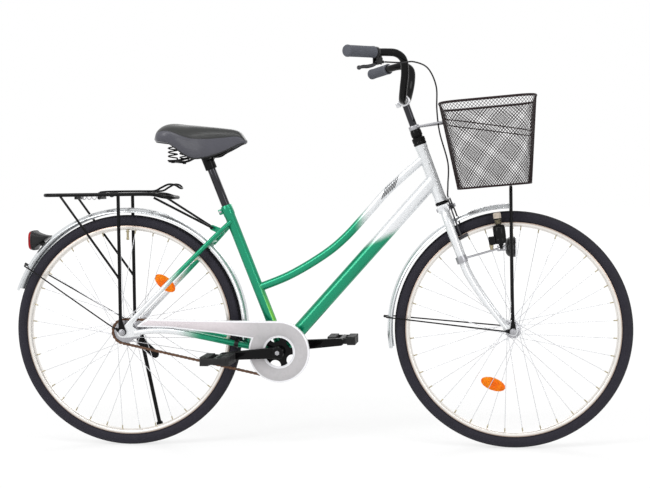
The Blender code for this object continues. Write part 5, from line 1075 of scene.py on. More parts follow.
def blade_ahead(along):
    share = max(0.0, BLADE_BEND - along) / (BLADE_BEND - BLADE_TIP)
    return (FORK_RAKE - 0.015) * share ** 1.35


def blade_left(along):
    middle = FORK_DROPOUT_INNER + 0.0025
    return middle + (BLADE_SPREAD - middle) * along / BLADE_TOP


shapes = [
    bar(steer(CROWN_START + 0.004), steer(NUT_START + 0.0255), 0.0254, 40, 0),
    block(steer(CROWN_MIDDLE), (0.034, 0.066, 0.0245), STEER_AXES, 0.005, 4),
]
heights = [BLADE_TOP + (BLADE_TIP - BLADE_TOP) * i / 28 for i in range(29)]
sizes = [0.026] * 3 + [0.026 - 0.0142 * (i / 28) ** 1.1 for i in range(29)]
for side in (1, -1):
    route = [(CROWN_MIDDLE, 0, 0.018), (CROWN_START - 0.004, 0, 0.036),
             (CROWN_START - 0.018, 0, 0.0415)]
    route += [(height, blade_ahead(height), blade_left(height)) for height in heights]
    shapes.append(swept([steer(up, ahead, side * left) for up, ahead, left in route], sizes, 32))
tip = steer(BLADE_TIP, blade_ahead(BLADE_TIP)) - FRONT
outline = slot_outline((0, 0), (tip.x * 1.2, tip.z + 0.006), 0.013, 0.009)
shapes += axle_plates(outline, FRONT, FORK_DROPOUT_INNER, 0.005, 0.0008)
finished("fork_painted", "steering", fork_paint, shapes, "fork")

# %% Stem and handlebar
BAR_CENTRE = steer(0.715)
GRIP_START = BAR_CENTRE + Vector((-0.055, 0.198, 0.1205))
GRIP_ALONG = (BAR_CENTRE + Vector((-0.123, 0.295, 0.114)) - GRIP_START).normalized()
hold = [(0.0117, 0.020), (0.0157, 0.020), (0.0165, 0.0192), (0.0165, 0.001)]
shapes = [
    spun(both_sides(hold), wheel_place(BAR_CENTRE), 48),
    block(steer(0.711, -0.021), (0.014, 0.022, 0.016), STEER_AXES, 0.003),
    bar(steer(0.7305), steer(0.736), 0.012, 6, 0.001),
    bar(steer(0.711, -0.022, -0.013), steer(0.711, -0.022, 0.014), 0.006, 20),
    bar(steer(0.711, -0.022, 0.011), steer(0.711, -0.022, 0.0155), 0.0095, 6, 0.0006),
]
finished("stem_chromed", "steering", chrome, shapes, "stem")
quill = bar(steer(NUT_START - 0.0395), steer(0.7023), 0.0222, 40, 0)
finished("stem_quill", "steering", quill_chrome, quill)
BAR_ROUTE = [
    (0, 0.070, 0), (0.006, 0.105, 0.030), (0.012, 0.125, 0.07), (0.010, 0.145, 0.105),
    (-0.008, 0.163, 0.121), (-0.034, 0.180, 0.1225),
]
points = [BAR_CENTRE + Vector(point) for point in BAR_ROUTE] + [GRIP_START]
half_bar = smooth([BAR_CENTRE + LEFT * 0.021] + points, 8) + [GRIP_START + GRIP_ALONG * 0.127]
bar_line = mirror_image(half_bar) + half_bar
finished("handlebar_painted", "steering", black_tube, swept(bar_line, 0.0222, 28), "handlebar")

# %% Grips
GRIP_LENGTH = 0.112
grip = [(0, GRIP_LENGTH), (0.0120, GRIP_LENGTH), (0.0150, GRIP_LENGTH - 0.0012),
        (0.0165, GRIP_LENGTH - 0.004), (0.0165, GRIP_LENGTH - 0.009)]
for rib in range(22):
    place = GRIP_LENGTH - 0.010 - rib * 0.0043
    grip += [(0.0158, place), (0.0151, place - 0.0012), (0.0151, place - 0.0022),
             (0.0158, place - 0.0034)]
grip += [(0.0165, 0.0040), (0.0165, 0.0012), (0.0155, 0), (0.0117, 0), (0.0117, 0.108),
         (0, 0.108)]
for name, turn in (("grip_left", Vector), ("grip_right", mirrored)):
    place = axes_at(turn(GRIP_START + GRIP_ALONG * 0.020), turn(GRIP_ALONG))
    finished(f"{name}_rubber", "steering", grip_rubber, spun(grip, place, 48), name, 35)

# %% [markdown]
# ## Front brake
#
# One lever on the right bar pulls a cable to the caliper over the front tyre. The cable is
# one smooth curve with a metal ferrule at each end, swept like any other tube.

# %% Lever and cable
LEVER_ALONG = mirrored(GRIP_ALONG)
LEVER_AXIS = LEVER_ALONG.cross(UP).normalized()
LEVER_PIVOT = mirrored(GRIP_START) + LEVER_ALONG * 0.006 - UP * 0.028


def lever_place(along, down, across=0.0):
    return LEVER_PIVOT + LEVER_ALONG * along - UP * down + LEVER_AXIS * across


blade = [lever_place(0, 0.001), lever_place(0.018, 0.008), lever_place(0.040, 0.012),
         lever_place(0.060, 0.013), lever_place(0.075, 0.016)]
shapes = [
    bar(lever_place(0, 0, -0.005), lever_place(0, 0, 0.005), 0.014, 32, 0.0008),
    swept(smooth(blade, 8), [0.0085 + 0.0025 * sin(pi * i / 32) for i in range(33)], 20),
]
knob = bmesh.new()
bmesh.ops.create_uvsphere(knob, u_segments=24, v_segments=16, radius=0.0063)
knob.transform(Matrix.Translation(lever_place(0.075, 0.016)))
finished("brake_lever_blade", "brake_lever", dark_steel, shapes + [knob], "brake_lever")
cable_start = lever_place(-0.0272, -0.002)
CABLE = [
    cable_start, cable_start - LEVER_ALONG * 0.010,
    BAR_CENTRE + Vector((0.006, -0.168, 0.094)), BAR_CENTRE + Vector((0.040, -0.145, 0.098)),
    BAR_CENTRE + Vector((0.076, -0.102, 0.084)), BAR_CENTRE + Vector((0.097, -0.062, 0.036)),
    BAR_CENTRE + Vector((0.097, -0.038, -0.030)), steer(0.590, 0.066, -0.028),
    steer(0.500, 0.058, -0.018), steer(CROWN_TOP + 0.050, 0.036, -0.0145),
    steer(CROWN_TOP + 0.022, 0.0250, -0.014), steer(CROWN_TOP + 0.0135, 0.0245, -0.014),
]
route = smooth(CABLE, 10)
shape = swept(route, 0.0045, 14)
finished("brake_cable_housing", "steering", black_plastic, shape, "brake_cable")
ferrules = [bar(route[0], route[6], 0.006, 20), bar(route[-6], route[-1], 0.006, 20)]
finished("cable_ferrules", "steering", steel, ferrules)

# %% [markdown]
# ## Fenders
#
# A fender is a shallow channel bent round the wheel. Its section, with rolled edges, is
# spun only part of the way round the axle, and the two open ends are filled.

# %% Fender shells
FENDER_RADIUS, FENDER_WIDTH, FENDER_DEPTH = 0.370, 0.050, 0.012
FENDER_BEND, FENDER_WALL = 1.18, 0.0012


def fender_section():
    """The channel's outer line, its rolled edges and its inner line, as one loop."""
    outer = [
        (
            FENDER_RADIUS - FENDER_DEPTH * (1 - cos(angle)) / (1 - cos(FENDER_BEND)),
            FENDER_WIDTH / 2 * sin(angle) / sin(FENDER_BEND),
        )
        for angle in (FENDER_BEND * i / 10 for i in range(11))
    ]
    edge = (outer[-1][0] - FENDER_WALL, outer[-1][1] - FENDER_WALL)
    roll = arc(edge, 0.0013, radians(60), radians(300), 8)
    inner = [
        (radius - FENDER_WALL, left * (1 - 0.0009 / (FENDER_WIDTH / 2)))
        for radius, left in outer[:-1]
    ]
    half = outer[:-1] + roll + inner[::-1]
    return half + [(radius, -left) for radius, left in reversed(half[1:-1])]


def fender(centre, start, end):
    """The section spun part of the way round an axle, in steps of about 2 degrees."""
    steps = round(degrees(end - start) / 2)
    return spun(fender_section(), wheel_place(centre), steps, end - start, -end)


shapes = [
    fender(FRONT, radians(90.5), radians(188.5)),
    block(steer(CROWN_START - 0.016), (0.004, 0.014, 0.030), STEER_AXES, 0.001),
    bar(steer(CROWN_START - 0.0272), steer(CROWN_START - GAP), 0.012, 24),
]
finished("front_fender_shell", "steering", silver, shapes, "front_fender", 40)
shape = fender(REAR, radians(-4.5), radians(160))
finished("rear_fender_shell", "bike", silver, shape, "rear_fender", 40)


# %% Fender stays
def fender_stay(name, centre, angle, eyelet, body, node):
    out = Vector((cos(angle), 0, sin(angle)))
    wire, clearance = 0.0042, 0.0006
    middle, edge = eyelet + 0.0031, FENDER_WIDTH / 2 + wire / 2 + clearance
    over = FENDER_RADIUS + wire / 2 + clearance
    half = [
        (0.0150, middle), (0.060, middle + 0.001), (FENDER_RADIUS - 0.050, edge + 0.004),
        (FENDER_RADIUS - FENDER_DEPTH, edge + 0.0012), (over - 0.0035, edge),
        (over - 0.0005, edge - 0.004), (over, edge - 0.010),
    ]
    route = smooth([centre + out * radius + LEFT * left for radius, left in half], 5)
    outline = slot_outline((0, 0), (out.x * 0.020, out.z * 0.020), 0.009, 0.0035)
    shapes = [swept(route + mirror_image(route), wire, 14)]
    shapes += axle_plates(outline, centre, eyelet, 0.0025, 0.0004)
    nut_ends = (centre + out * (over - 0.001), centre + out * (over + 0.010))
    shapes.append(bar(*nut_ends, 0.008, 6, 0.0006))
    finished(name, body, black_paint, shapes, node)


fender_stay("front_fender_wire", FRONT, radians(174), FRONT_FENDER_EYELET, "steering",
            "front_fender_stay")
fender_stay("rear_fender_wire", REAR, radians(148), REAR_FENDER_EYELET, "bike",
            "rear_fender_stay")

# %% [markdown]
# ## Rack
#
# The rack is bent from black tube and wire: one closed loop for the platform, straight wires
# across and along it, a leg and a brace on each side. A spring clamp lies on top, hinged
# near the back, and a draw spring under the platform pulls it shut.

# %% Platform, legs and braces
RACK_HEIGHT, RACK_HALF, RACK_BACK, RACK_FRONT = 0.410, 0.0655, 0.243, 0.106
RACK_TUBE, RACK_WIRE, CLAMP_HINGE = 0.011, 0.007, 0.065
back = -RACK_BACK + RACK_TUBE / 2
half = [
    (RACK_FRONT + 0.044, RACK_HEIGHT - 0.011, 0.018),
    (RACK_FRONT + 0.040, RACK_HEIGHT - 0.011, 0.036),
    (RACK_FRONT + 0.020, RACK_HEIGHT - 0.008, 0.053),
    (RACK_FRONT - 0.002, RACK_HEIGHT - 0.002, RACK_HALF - 0.003),
    (RACK_FRONT - 0.030, RACK_HEIGHT, RACK_HALF), (0.0, RACK_HEIGHT, RACK_HALF),
    (-0.13, RACK_HEIGHT, RACK_HALF), (back + 0.030, RACK_HEIGHT, RACK_HALF),
    (back + 0.009, RACK_HEIGHT, RACK_HALF - 0.008), (back, RACK_HEIGHT, RACK_HALF - 0.030),
]
loop = [rear(*point) for point in half]
loop = smooth(loop + mirror_image(loop), 5, closed=True)
shapes = [swept(loop, RACK_TUBE, 24, closed=True)]
for forward, width in ((-0.150, RACK_WIRE), (-CLAMP_HINGE, 0.008), (-0.005, RACK_WIRE),
                       (RACK_FRONT - 0.028, RACK_WIRE)):
    shapes.append(across_bar(rear(forward, RACK_HEIGHT), -RACK_HALF, RACK_HALF, width))
for side in (1, -1):
    height, left = RACK_HEIGHT + 0.0015, side * RACK_HALF / 3
    knee, top = (rear(-0.005, up, side * RACK_HALF) for up in (0.158, RACK_HEIGHT))
    foot = rear(-0.005, 0.026, side * (RACK_EYELET_INNER + 0.0015))
    brace_top = rear(-0.185, RACK_HEIGHT, side * RACK_HALF)
    leg = [foot, foot.lerp(knee, 0.9), knee, knee.lerp(top, 0.1), top]
    shapes += [
        bar(rear(back, height, left), rear(RACK_FRONT - 0.026, height, left), RACK_WIRE),
        swept(leg, 0.010, 24), bar(knee, brace_top, RACK_WIRE),
        bead(knee.lerp(brace_top, 0.022), brace_top - knee, 0.0034, 0.0025),
    ]
outline = slot_outline((0, 0), (-0.005, 0.034), 0.011, 0.006)
shapes += axle_plates(outline, REAR, RACK_EYELET_INNER, 0.003, 0.0005)
for forward in (-0.150, -0.078):
    place = rear(forward, RACK_HEIGHT - 0.0055)
    shapes.append(block(place, (0.004, RACK_HALF, 0.016), None, 0.0008))
finished("rack_bent_wire", "bike", black_paint, shapes, "rack")
shapes = [across_bar(RACK_TAB, -0.012, 0.012, 0.006)]
for side in (1, -1):
    high = rear(RACK_FRONT - 0.004, RACK_HEIGHT - 0.0107, side * (RACK_HALF - 0.004))
    shapes += [
        bar(high, RACK_TAB + LEFT * side * 0.008, RACK_WIRE),
        across_bar(RACK_TAB, side * 0.012, side * 0.0155, 0.010, 6, 0.0006),
    ]
finished("rack_strut_wire", "bike", black_paint, shapes, "rack_strut")

# %% Spring clamp and its draw spring
eye, rest = RACK_HALF - 0.016, RACK_HEIGHT + RACK_TUBE / 2 + 0.0036
half = [
    (-CLAMP_HINGE, rest - 0.002, eye), (-CLAMP_HINGE + 0.03, rest, eye - 0.003),
    (RACK_FRONT - 0.06, rest, 0.0415), (RACK_FRONT - 0.010, rest, 0.038),
    (RACK_FRONT + 0.012, rest + 0.010, 0.035), (RACK_FRONT + 0.032, rest + 0.019, 0.031),
    (RACK_FRONT + 0.050, rest + 0.017, 0.024), (RACK_FRONT + 0.062, rest + 0.008, 0.012),
]
route = [rear(*point) for point in half]
route = smooth(route + mirror_image(route), 6)
shapes = [swept(route, 0.006, 20)]
eyes = both_sides([(0.0046, 0.003), (0.0078, 0.003), (0.0085, 0.0022), (0.0085, 0.0005)])
for side in (1, -1):
    place = wheel_place(rear(-CLAMP_HINGE, RACK_HEIGHT, side * eye))
    shapes.append(spun(eyes, place, 32))
finished("rack_clamp_wire", "rack_clamp", black_paint, shapes, "rack_clamp")


def coil(start, along, wire, diameter, curls, length):
    """A spring's centre line: even turns with straight ends."""
    place = axes_at(start, along)
    radius, steps = (diameter - wire) / 2, round(curls * 24)
    points = [(radius, 0, 0)]
    for i in range(steps + 1):
        angle = 2 * pi * curls * i / steps
        rise = wire + (length - 2 * wire) * i / steps
        points.append((radius * cos(angle), radius * sin(angle), rise))
    points.append((*points[-1][:2], length))
    return [place @ Vector(point) for point in points]


turns = coil(rear(-0.1477, RACK_HEIGHT - 0.0095), Vector((1, 0, 0)), 0.002, 0.012, 4, 0.0674)
finished("clamp_draw_spring", "bike", steel, swept(turns, 0.002, 12), "rack_clamp_spring")

# %% [markdown]
# ## Lights
#
# The tail lamp is a black wedge on the fender with a red prismatic face. The headlamp is a
# spun bowl with a chromed rim and a ribbed glass, held by a band on the basket's stay.

# %% Tail lamp
CORNER = 0.62


def lamp_loft(stations):
    """Rounded upright sections of (ahead, half width, low, high), joined front to back."""
    turns = [(cos(pi * i / 24), sin(pi * i / 24)) for i in range(48)]
    outline = [
        tuple(copysign(abs(value) ** CORNER, value) for value in turn) for turn in turns
    ]
    return lofted([
        [rear(ahead, (low + high + y * (high - low)) / 2, x * half) for x, y in outline]
        for ahead, half, low, high in stations
    ])[0]


lens = [
    (-0.2922, 0.0330, 0.2440, 0.3030), (-0.2975, 0.0328, 0.2442, 0.3028),
    (-0.2993, 0.0318, 0.2452, 0.3018), (-0.3002, 0.0295, 0.2475, 0.2995),
    (-0.3005, 0.0230, 0.2540, 0.2930),
]
finished("tail_lens", "bike", red_lens, lamp_loft(lens), "tail_light_lens")
housing = [
    (-0.2925, 0.0330, 0.2440, 0.3030), (-0.2925, 0.0340, 0.2430, 0.3040),
    (-0.2885, 0.0340, 0.2430, 0.3040), (-0.2880, 0.0325, 0.2475, 0.3020),
    (-0.2800, 0.0305, 0.2545, 0.2975), (-0.2700, 0.0270, 0.2628, 0.2935),
    (-0.2600, 0.0235, 0.2711, 0.2905), (-0.2500, 0.0200, 0.2793, 0.2885),
    (-0.2435, 0.0180, 0.2832, 0.2878),
]
lamp_angle = radians(135.4)
foot = Vector((cos(lamp_angle), 0, sin(lamp_angle)))
shapes = [lamp_loft(housing), bar(REAR + foot * 0.3706, REAR + foot * 0.383, 0.016, 32, 0.001)]
finished("tail_housing", "bike", black_plastic, shapes, "tail_light_housing", 35)

# %% Headlamp
lamp = axes_at(front(-0.002, 0.238, 0.090), Vector((1, 0, 0)))
radius, face = 0.031, 0.018
bowl = [(0, -face), (0.006, -face), (0.0065, -face * 0.97)] + [
    (0.008 + (radius - 0.008) * sin(a) ** 0.8, face * (1.1 * (1 - cos(a)) - 0.92))
    for a in (pi / 2 * i / 10 for i in range(1, 11))
]
bowl += [(radius, face * 0.75), (radius - 0.002, face * 0.75), (radius - 0.002, face * 0.3),
         (0, face * 0.3)]
leg_low = front(-0.001, 0.10, FRONT_STAY_EYELET - 0.0015)
leg_high = front(-0.002, 0.312, 0.040)
leg = leg_low.lerp(leg_high, (front(0, 0.238).z - leg_low.z) / (leg_high.z - leg_low.z))
clip = both_sides([(0.0048, 0.006), (0.0074, 0.006), (0.0078, 0.0055)])
shapes = [
    spun(bowl, lamp, 56), spun(clip, axes_at(leg, leg_high - leg_low), 32),
    bar(leg + LEFT * 0.0058, Vector((leg.x, 0.0652, REAR.z + 0.238)), 0.009, 20),
]
finished("headlamp_bowl", "steering", black_plastic, shapes, "headlight_housing")
inside = radius - 0.0027
glass = [(0, face * 0.3 + GAP), (inside, face * 0.3 + GAP), (inside, face * 0.78)] + [
    (inside * cos(a), face * (0.78 + 0.22 * sin(a)))
    for a in (pi / 2 * i / 8 for i in range(1, 8))
]
glass.append((0, face))
finished("headlamp_glass", "steering", clear_lens, spun(glass, lamp, 56), "headlight_lens")
trim = [
    (radius - 0.0024, face * 0.74), (radius + 0.0004, face * 0.70),
    (radius + 0.0008, face * 0.78), (radius - 0.0004, face * 0.88),
    (radius - 0.0024, face * 0.90),
]
finished("headlamp_trim", "steering", chrome, spun(trim, lamp, 56))

# %% [markdown]
# The bottle dynamo leans on the front tyre's side when its hinge lets it swing in. Its case
# is spun with two grooves, its roller is cream with fine knurling, and its spring shows
# between the case and the cap.

# %% Dynamo
dynamo_angle = radians(97.3)
OUT = Vector((cos(dynamo_angle), 0, sin(dynamo_angle)))
TANGENT = LEFT.cross(OUT)
dynamo_base = FRONT - LEFT * 0.038
swing = dynamo_base + OUT * 0.246
case = [
    (0, 0.256), (0.014, 0.256), (0.0165, 0.258), (0.018, 0.262), (0.018, 0.270),
    (0.0172, 0.271), (0.0172, 0.273), (0.018, 0.274), (0.018, 0.302), (0.0172, 0.303),
    (0.0165, 0.307), (0.012, 0.310), (0.008, 0.3105), (0.008, 0.3285), (0.0076, 0.3294),
    (0.0025, 0.3294), (0.0025, 0.343), (0, 0.343),
]
DYNAMO_AXES = axes_at(Vector(), OUT, TANGENT)
hook_place = dynamo_base + OUT * 0.268 - TANGENT * 0.024
shapes = [
    spun(case, axes_at(dynamo_base, OUT), 48),
    bar(swing - TANGENT * 0.0045, swing + TANGENT * 0.0045, 0.012, 32),
    block(dynamo_base + OUT * 0.255, (0.014, 0.010, 0.010), DYNAMO_AXES, 0.001),
    block(hook_place, (0.020, 0.026, 0.024), DYNAMO_AXES, 0.003),
]
finished("dynamo_case_finished", "dynamo", dynamo_coat, shapes, "dynamo_body")
barrel = dynamo_base + OUT * 0.252 - TANGENT * 0.028
knurl = [(0, -0.010), (0.0042, -0.010), (0.005, -0.009), (0.005, -0.003), (0.0062, -0.002),
         (0.0062, 0.005), (0.0045, 0.0065), (0.0045, 0.0110), (0, 0.0110)]
finished("dynamo_terminal", "dynamo", brass, spun(knurl, axes_at(barrel, OUT), 24))
turns = coil(dynamo_base + OUT * 0.3108, OUT, 0.0014, 0.0192, 4, 0.0165)
finished("dynamo_spring", "dynamo", brass, swept(turns, 0.0014, 10))
wheel = [(0.0031, 0.330), (0.0108, 0.330), (0.0115, 0.3307)]
for groove in range(6):
    start = 0.3315 + groove * 0.0021
    wheel += [(0.0115, start), (0.0110, start + 0.0007), (0.0115, start + 0.0014)]
wheel += [(0.0095, 0.347), (0, 0.347), (0, 0.344), (0.0031, 0.344)]
finished("dynamo_roller_knurled", "dynamo_roller", cream_plastic,
         spun(wheel, axes_at(dynamo_base, OUT), 40), "dynamo_roller", 30)

# %% [markdown]
# ## Chain drive
#
# A roller chain is one link pair repeated round the two chain wheels. The pairs are placed
# by distance along the chain's line: an arc round the sprocket, an arc round the chainring
# and the two straight runs that touch both.

# %% Chain metal and its line
chain_metal = Look("chain_steel", tint(112, 84, 66), 0.4, 0.9)
oil = chain_metal.noise(160, 3)
chain_metal.coloured(oil, tint(128, 98, 78), tint(58, 42, 36))
chain_metal.set(Roughness=oil * 0.25 + 0.28)
PITCH, CHAIN_LINE, RING_TEETH, SPROCKET_TEETH = 0.0127, 0.042, 40, 18
RING_RADIUS = PITCH / 2 / sin(pi / RING_TEETH)
SPROCKET_RADIUS = PITCH / 2 / sin(pi / SPROCKET_TEETH)
span = BRACKET - REAR
tilt = atan2(span.z, span.x)
lean = acos((SPROCKET_RADIUS - RING_RADIUS) / span.length)
line = []
for centre, radius, start, end in (
    (REAR, SPROCKET_RADIUS, tilt + lean, tilt + 2 * pi - lean),
    (BRACKET, RING_RADIUS, tilt - lean, tilt + lean),
):
    turns = arc((centre.x, centre.z), radius, start, end, 180)
    line += [Vector((x, 0, up)) for x, up in turns]


def spaced(line, count):
    """Points at even distances round a closed line."""
    ends = line[1:] + line[:1]
    lengths = [(b - a).length for a, b in zip(line, ends)]
    total, points, index, walked = sum(lengths), [], 0, 0.0
    for step in range(count):
        target = total * step / count
        while walked + lengths[index] < target:
            walked += lengths[index]
            index += 1
        points.append(line[index].lerp(ends[index], (target - walked) / lengths[index]))
    return points, total


count = 2 * round(spaced(line, 2)[1] / PITCH / 2)
pins, chain_length = spaced(line, count)
print(f"chain: {count} links, {chain_length:.3f} m")


# %% Links
def link_mesh(outer):
    """Two side plates, and on an inner link the two rollers, lying along X."""
    low, high, width, size = (
        (0.00275, 0.0037, 0.0042, 0.0036) if outer else (0.0017, 0.00265, 0.0016, 0.0077)
    )
    outline = arc((PITCH, 0), 0.0042, -1.15, 1.15, 5) + [(PITCH / 2, 0.0028)]
    outline += arc((0, 0), 0.0042, pi - 1.15, pi + 1.15, 5) + [(PITCH / 2, -0.0028)]
    plates = [plate(outline, side_place(Vector(), left), high - low, 0) for left in (low, -high)]
    rollers = [
        across_bar(Vector((ahead, 0, 0)), -width, width, size, 8, 0) for ahead in (0, PITCH)
    ]
    return joined("link", plates + rollers)


links = [link_mesh(False), link_mesh(True)]
chain = bmesh.new()
for i, pin in enumerate(pins):
    along = (pins[(i + 1) % count] - pin).normalized()
    turn = Matrix((along, LEFT, along.cross(LEFT))).transposed().to_4x4()
    place = Matrix.Translation(pin - LEFT * CHAIN_LINE) @ turn
    before = len(chain.verts)
    chain.from_mesh(links[i % 2])
    chain.verts.ensure_lookup_table()
    bmesh.ops.transform(chain, matrix=place, verts=chain.verts[before:])
finished("roller_chain", "bike", chain_metal, chain, "chain", 40)


# %% [markdown]
# Chainring and sprocket are stamped plates with a tooth for every link they carry. The
# cranks are forged: flat outlines with a wide bevel, a boss at the bracket and an eye for
# the pedal. Both cranks turn as one, and each pedal turns on its own spindle.

# %% Chain wheels
def toothed(radius, teeth):
    outline, step = [], 2 * pi / teeth
    for tooth in range(teeth):
        for share, rise in ((-0.5, -0.0036), (-0.28, -0.0028), (-0.08, 0.0024), (0.08, 0.0024),
                            (0.28, -0.0028)):
            angle, edge = (tooth + 0.25 + share) * step, radius + rise
            outline.append((edge * cos(angle), edge * sin(angle)))
    return outline


driver = [
    (0.0056, -0.0445), (0.0165, -0.0445), (0.017, -0.044), (0.017, -0.0363),
    (0.0165, -0.0358), (0.0056, -0.0358),
]
wheel = plate(toothed(SPROCKET_RADIUS, SPROCKET_TEETH), side_place(REAR, -CHAIN_LINE - 0.0015),
              0.003, 0.0003, [(0, 0, 0.0056)])
finished("sprocket_toothed", "sprocket", steel, [wheel, spun(driver, wheel_place(REAR), 48)],
         "rear_sprocket")

# %% Cranks
CRANK_TILT, CRANK_LENGTH = radians(4), 0.165
CRANK_INNER, CRANK_OUTER = 0.064, 0.079
PEDAL_INNER, PEDAL_WIDTH = 0.089, 0.088
CRANK_AHEAD = Vector((cos(CRANK_TILT), 0, sin(CRANK_TILT)))
crank_black = black_coat("black_paint", tint(9, 9, 10), 0.24)


def crank_arm(side):
    span = CRANK_AHEAD * (side * CRANK_LENGTH)
    left = CRANK_INNER if side > 0 else -CRANK_OUTER
    outline = slot_outline((0, 0), (span.x, span.z), 0.0165, 0.0115)
    shapes = [plate(outline, side_place(BRACKET, left), 0.015, 0.004, (), 4)]
    for place, low, high, size, sides, bevel in (
        (BRACKET, 0.060, CRANK_OUTER + 0.005, 0.036, 48, 0.003),
        (BRACKET, CRANK_OUTER + 0.004, CRANK_OUTER + 0.006, 0.022, 32, 0.0006),
        (BRACKET + span, CRANK_INNER, PEDAL_INNER + PEDAL_WIDTH - 0.006, 0.011, 24, 0.0004),
        (BRACKET + span, CRANK_OUTER - 0.001, PEDAL_INNER - GAP, 0.016, 24, 0.0004),
        (BRACKET + span, CRANK_INNER - 0.0005, CRANK_INNER + 0.002, 0.0155, 24, 0.0004),
    ):
        shapes.append(across_bar(place, side * low, side * high, size, sides, bevel))
    return shapes


spider = [
    (RING_RADIUS * 0.56 * cos(a), RING_RADIUS * 0.56 * sin(a), RING_RADIUS * 0.21)
    for a in (2 * pi * (i + 0.5) / 5 for i in range(5))
]
shapes = crank_arm(-1) + [
    plate(toothed(RING_RADIUS, RING_TEETH), side_place(BRACKET, -CHAIN_LINE - 0.0015), 0.003,
          0.0004, spider),
    across_bar(BRACKET, -0.064, -0.040, 0.036, 48, 0.001),
]
finished("crankset_forged", "crank", crank_black, shapes, "crankset_right")
shapes = crank_arm(1) + [across_bar(BRACKET, -0.075, 0.079, 0.017, 32)]
finished("crank_left_forged", "crank", crank_black, shapes, "crank_left")
low, high = CRANK_OUTER + 0.0055, CRANK_OUTER + 0.0062
bolts = [across_bar(BRACKET, side * low, side * high, 0.014, 6, 0.0002) for side in (1, -1)]
finished("crank_bolts", "crank", steel, bolts)


# %% Pedals
for name, side in (("pedal_right", -1), ("pedal_left", 1)):
    place = BRACKET + CRANK_AHEAD * (side * CRANK_LENGTH)
    near, far = side * PEDAL_INNER, side * (PEDAL_INNER + PEDAL_WIDTH)
    shapes = [across_bar(place, near, far, 0.020, 32, 0.002)]
    for end in (1, -1):
        centre = place + Vector((end * 0.0301, (near + far) / 2, 0))
        end_plate = place + LEFT * ((near + far) / 2 + end * 0.041)
        shapes.append(block(centre, (0.0225, PEDAL_WIDTH - 0.003, 0.0245), None, 0.003, 3))
        for rib in range(-4, 5):
            tread = centre + LEFT * (rib * 0.0095)
            shapes.append(block(tread, (0.0255, 0.0048, 0.0258), None, 0.0008, 2))
        shapes.append(block(end_plate, (0.069, 0.0058, 0.0182), None, 0.0015))
    finished(f"{name}_treads", name, black_plastic, shapes, name)

# %% [markdown]
# ## Chain guard
#
# The guard is one moulded panel: a disc round the chainring, drawn out to a tail over the
# upper run, with a round window for the crank. The panel starts as a flat outline with a
# hole, is inset for its white edge, extruded for its walls, and thickened at the end.

# %% Guard panel
GUARD_RADIUS, GUARD_HOLE, GUARD_OUTER, GUARD_DEPTH = 0.0905, 0.044, 0.060, 0.012
reach = CHAIN_STAY_REACH
outline = arc((0, 0), GUARD_RADIUS, radians(154), radians(450), 96)
outline += [(-0.12, 0.0917), (-0.24, 0.0939), (-0.34, 0.0961), (0.078 - reach, 0.0985),
            (0.0715 - reach, 0.0978), (0.067 - reach, 0.0955), (0.0455 - reach, 0.0796),
            (0.0415 - reach, 0.0757), (0.045 - reach, 0.0741), (0.140 - reach, 0.0715)]
outline += [(-0.200, 0.0571)]
guard = bmesh.new()
for loop in (outline, arc((0, 0), GUARD_HOLE, 0, 2 * pi, 72)[:-1]):
    drawn(guard, loop)
bmesh.ops.triangle_fill(guard, edges=list(guard.edges), use_beauty=True)
bmesh.ops.recalc_face_normals(guard, faces=guard.faces)
edge_layer = guard.faces.layers.float.new("edge")
border = bmesh.ops.inset_region(
    guard, faces=list(guard.faces), thickness=0.0048, depth=0.0, use_boundary=True,
    use_even_offset=True,
)["faces"]
for face in border:
    face[edge_layer] = 1.0
# The tail's tip is narrower than its white edge, so the edge's inner corners meet there.
tip = [corner for corner in guard.verts if corner.is_boundary and corner.co.x < 0.046 - reach]
meeting = {edge.other_vert(corner) for corner in tip for edge in corner.link_edges}
meeting = [corner for corner in meeting if not corner.is_boundary]
for corner in meeting:
    corner.co = (0.0524 - reach, 0.0787, 0)
bmesh.ops.remove_doubles(guard, verts=meeting, dist=1e-6)
inner = [face for face in guard.faces if face[edge_layer] < 0.5]
step = bmesh.ops.inset_region(
    guard, faces=inner, thickness=0.0012, use_even_offset=True
)["faces"]
flat = [face for face in guard.faces if face[edge_layer] < 0.5 and face not in step]
sunk = {corner for face in flat for corner in face.verts}
bmesh.ops.translate(guard, verts=list(sunk), vec=(0, 0, -0.0010))
outside = [
    edge for edge in guard.edges
    if edge.is_boundary and edge.verts[0].co.length > GUARD_HOLE + 0.01
]
made = bmesh.ops.extrude_edge_only(guard, edges=outside)
for face in only(FACE, made):
    face[edge_layer] = 1.0
bmesh.ops.translate(guard, verts=only(VERT, made), vec=(0, 0, GUARD_DEPTH))
bmesh.ops.recalc_face_normals(guard, faces=guard.faces)
bmesh.ops.bevel(guard, geom=outside, offset=0.002, offset_type="OFFSET", segments=3, profile=0.5,
                affect="EDGES", material=-1)
guard.transform(side_place(BRACKET, -GUARD_OUTER))
lip = [(GUARD_HOLE - 0.0016, -0.0006), (GUARD_HOLE - 0.0016, 0.004), (GUARD_HOLE, 0.004),
       (GUARD_HOLE + 0.001, 0.0014), (GUARD_HOLE + 0.0005, -0.0006)]
lip = spun([(radius, height - GUARD_OUTER) for radius, height in lip], wheel_place(BRACKET), 96)
lip_layer = lip.faces.layers.float.new("edge")
for face in lip.faces:
    face[lip_layer] = 1.0
first, second = mirrored(CHAIN_STAY[1]), mirrored(CHAIN_STAY[2])
stay = first.lerp(second, 0.15)
ring = both_sides([(0.01015, 0.006), (0.0122, 0.006), (0.0126, 0.0055)])
hook_ends = (Vector((stay.x, stay.y - 0.004, stay.z + 0.0107)),
             Vector((stay.x, -0.051, BRACKET.z + 0.067)))
clip = [spun(ring, axes_at(stay, second - first), 32), bar(*hook_ends, 0.006, 20)]
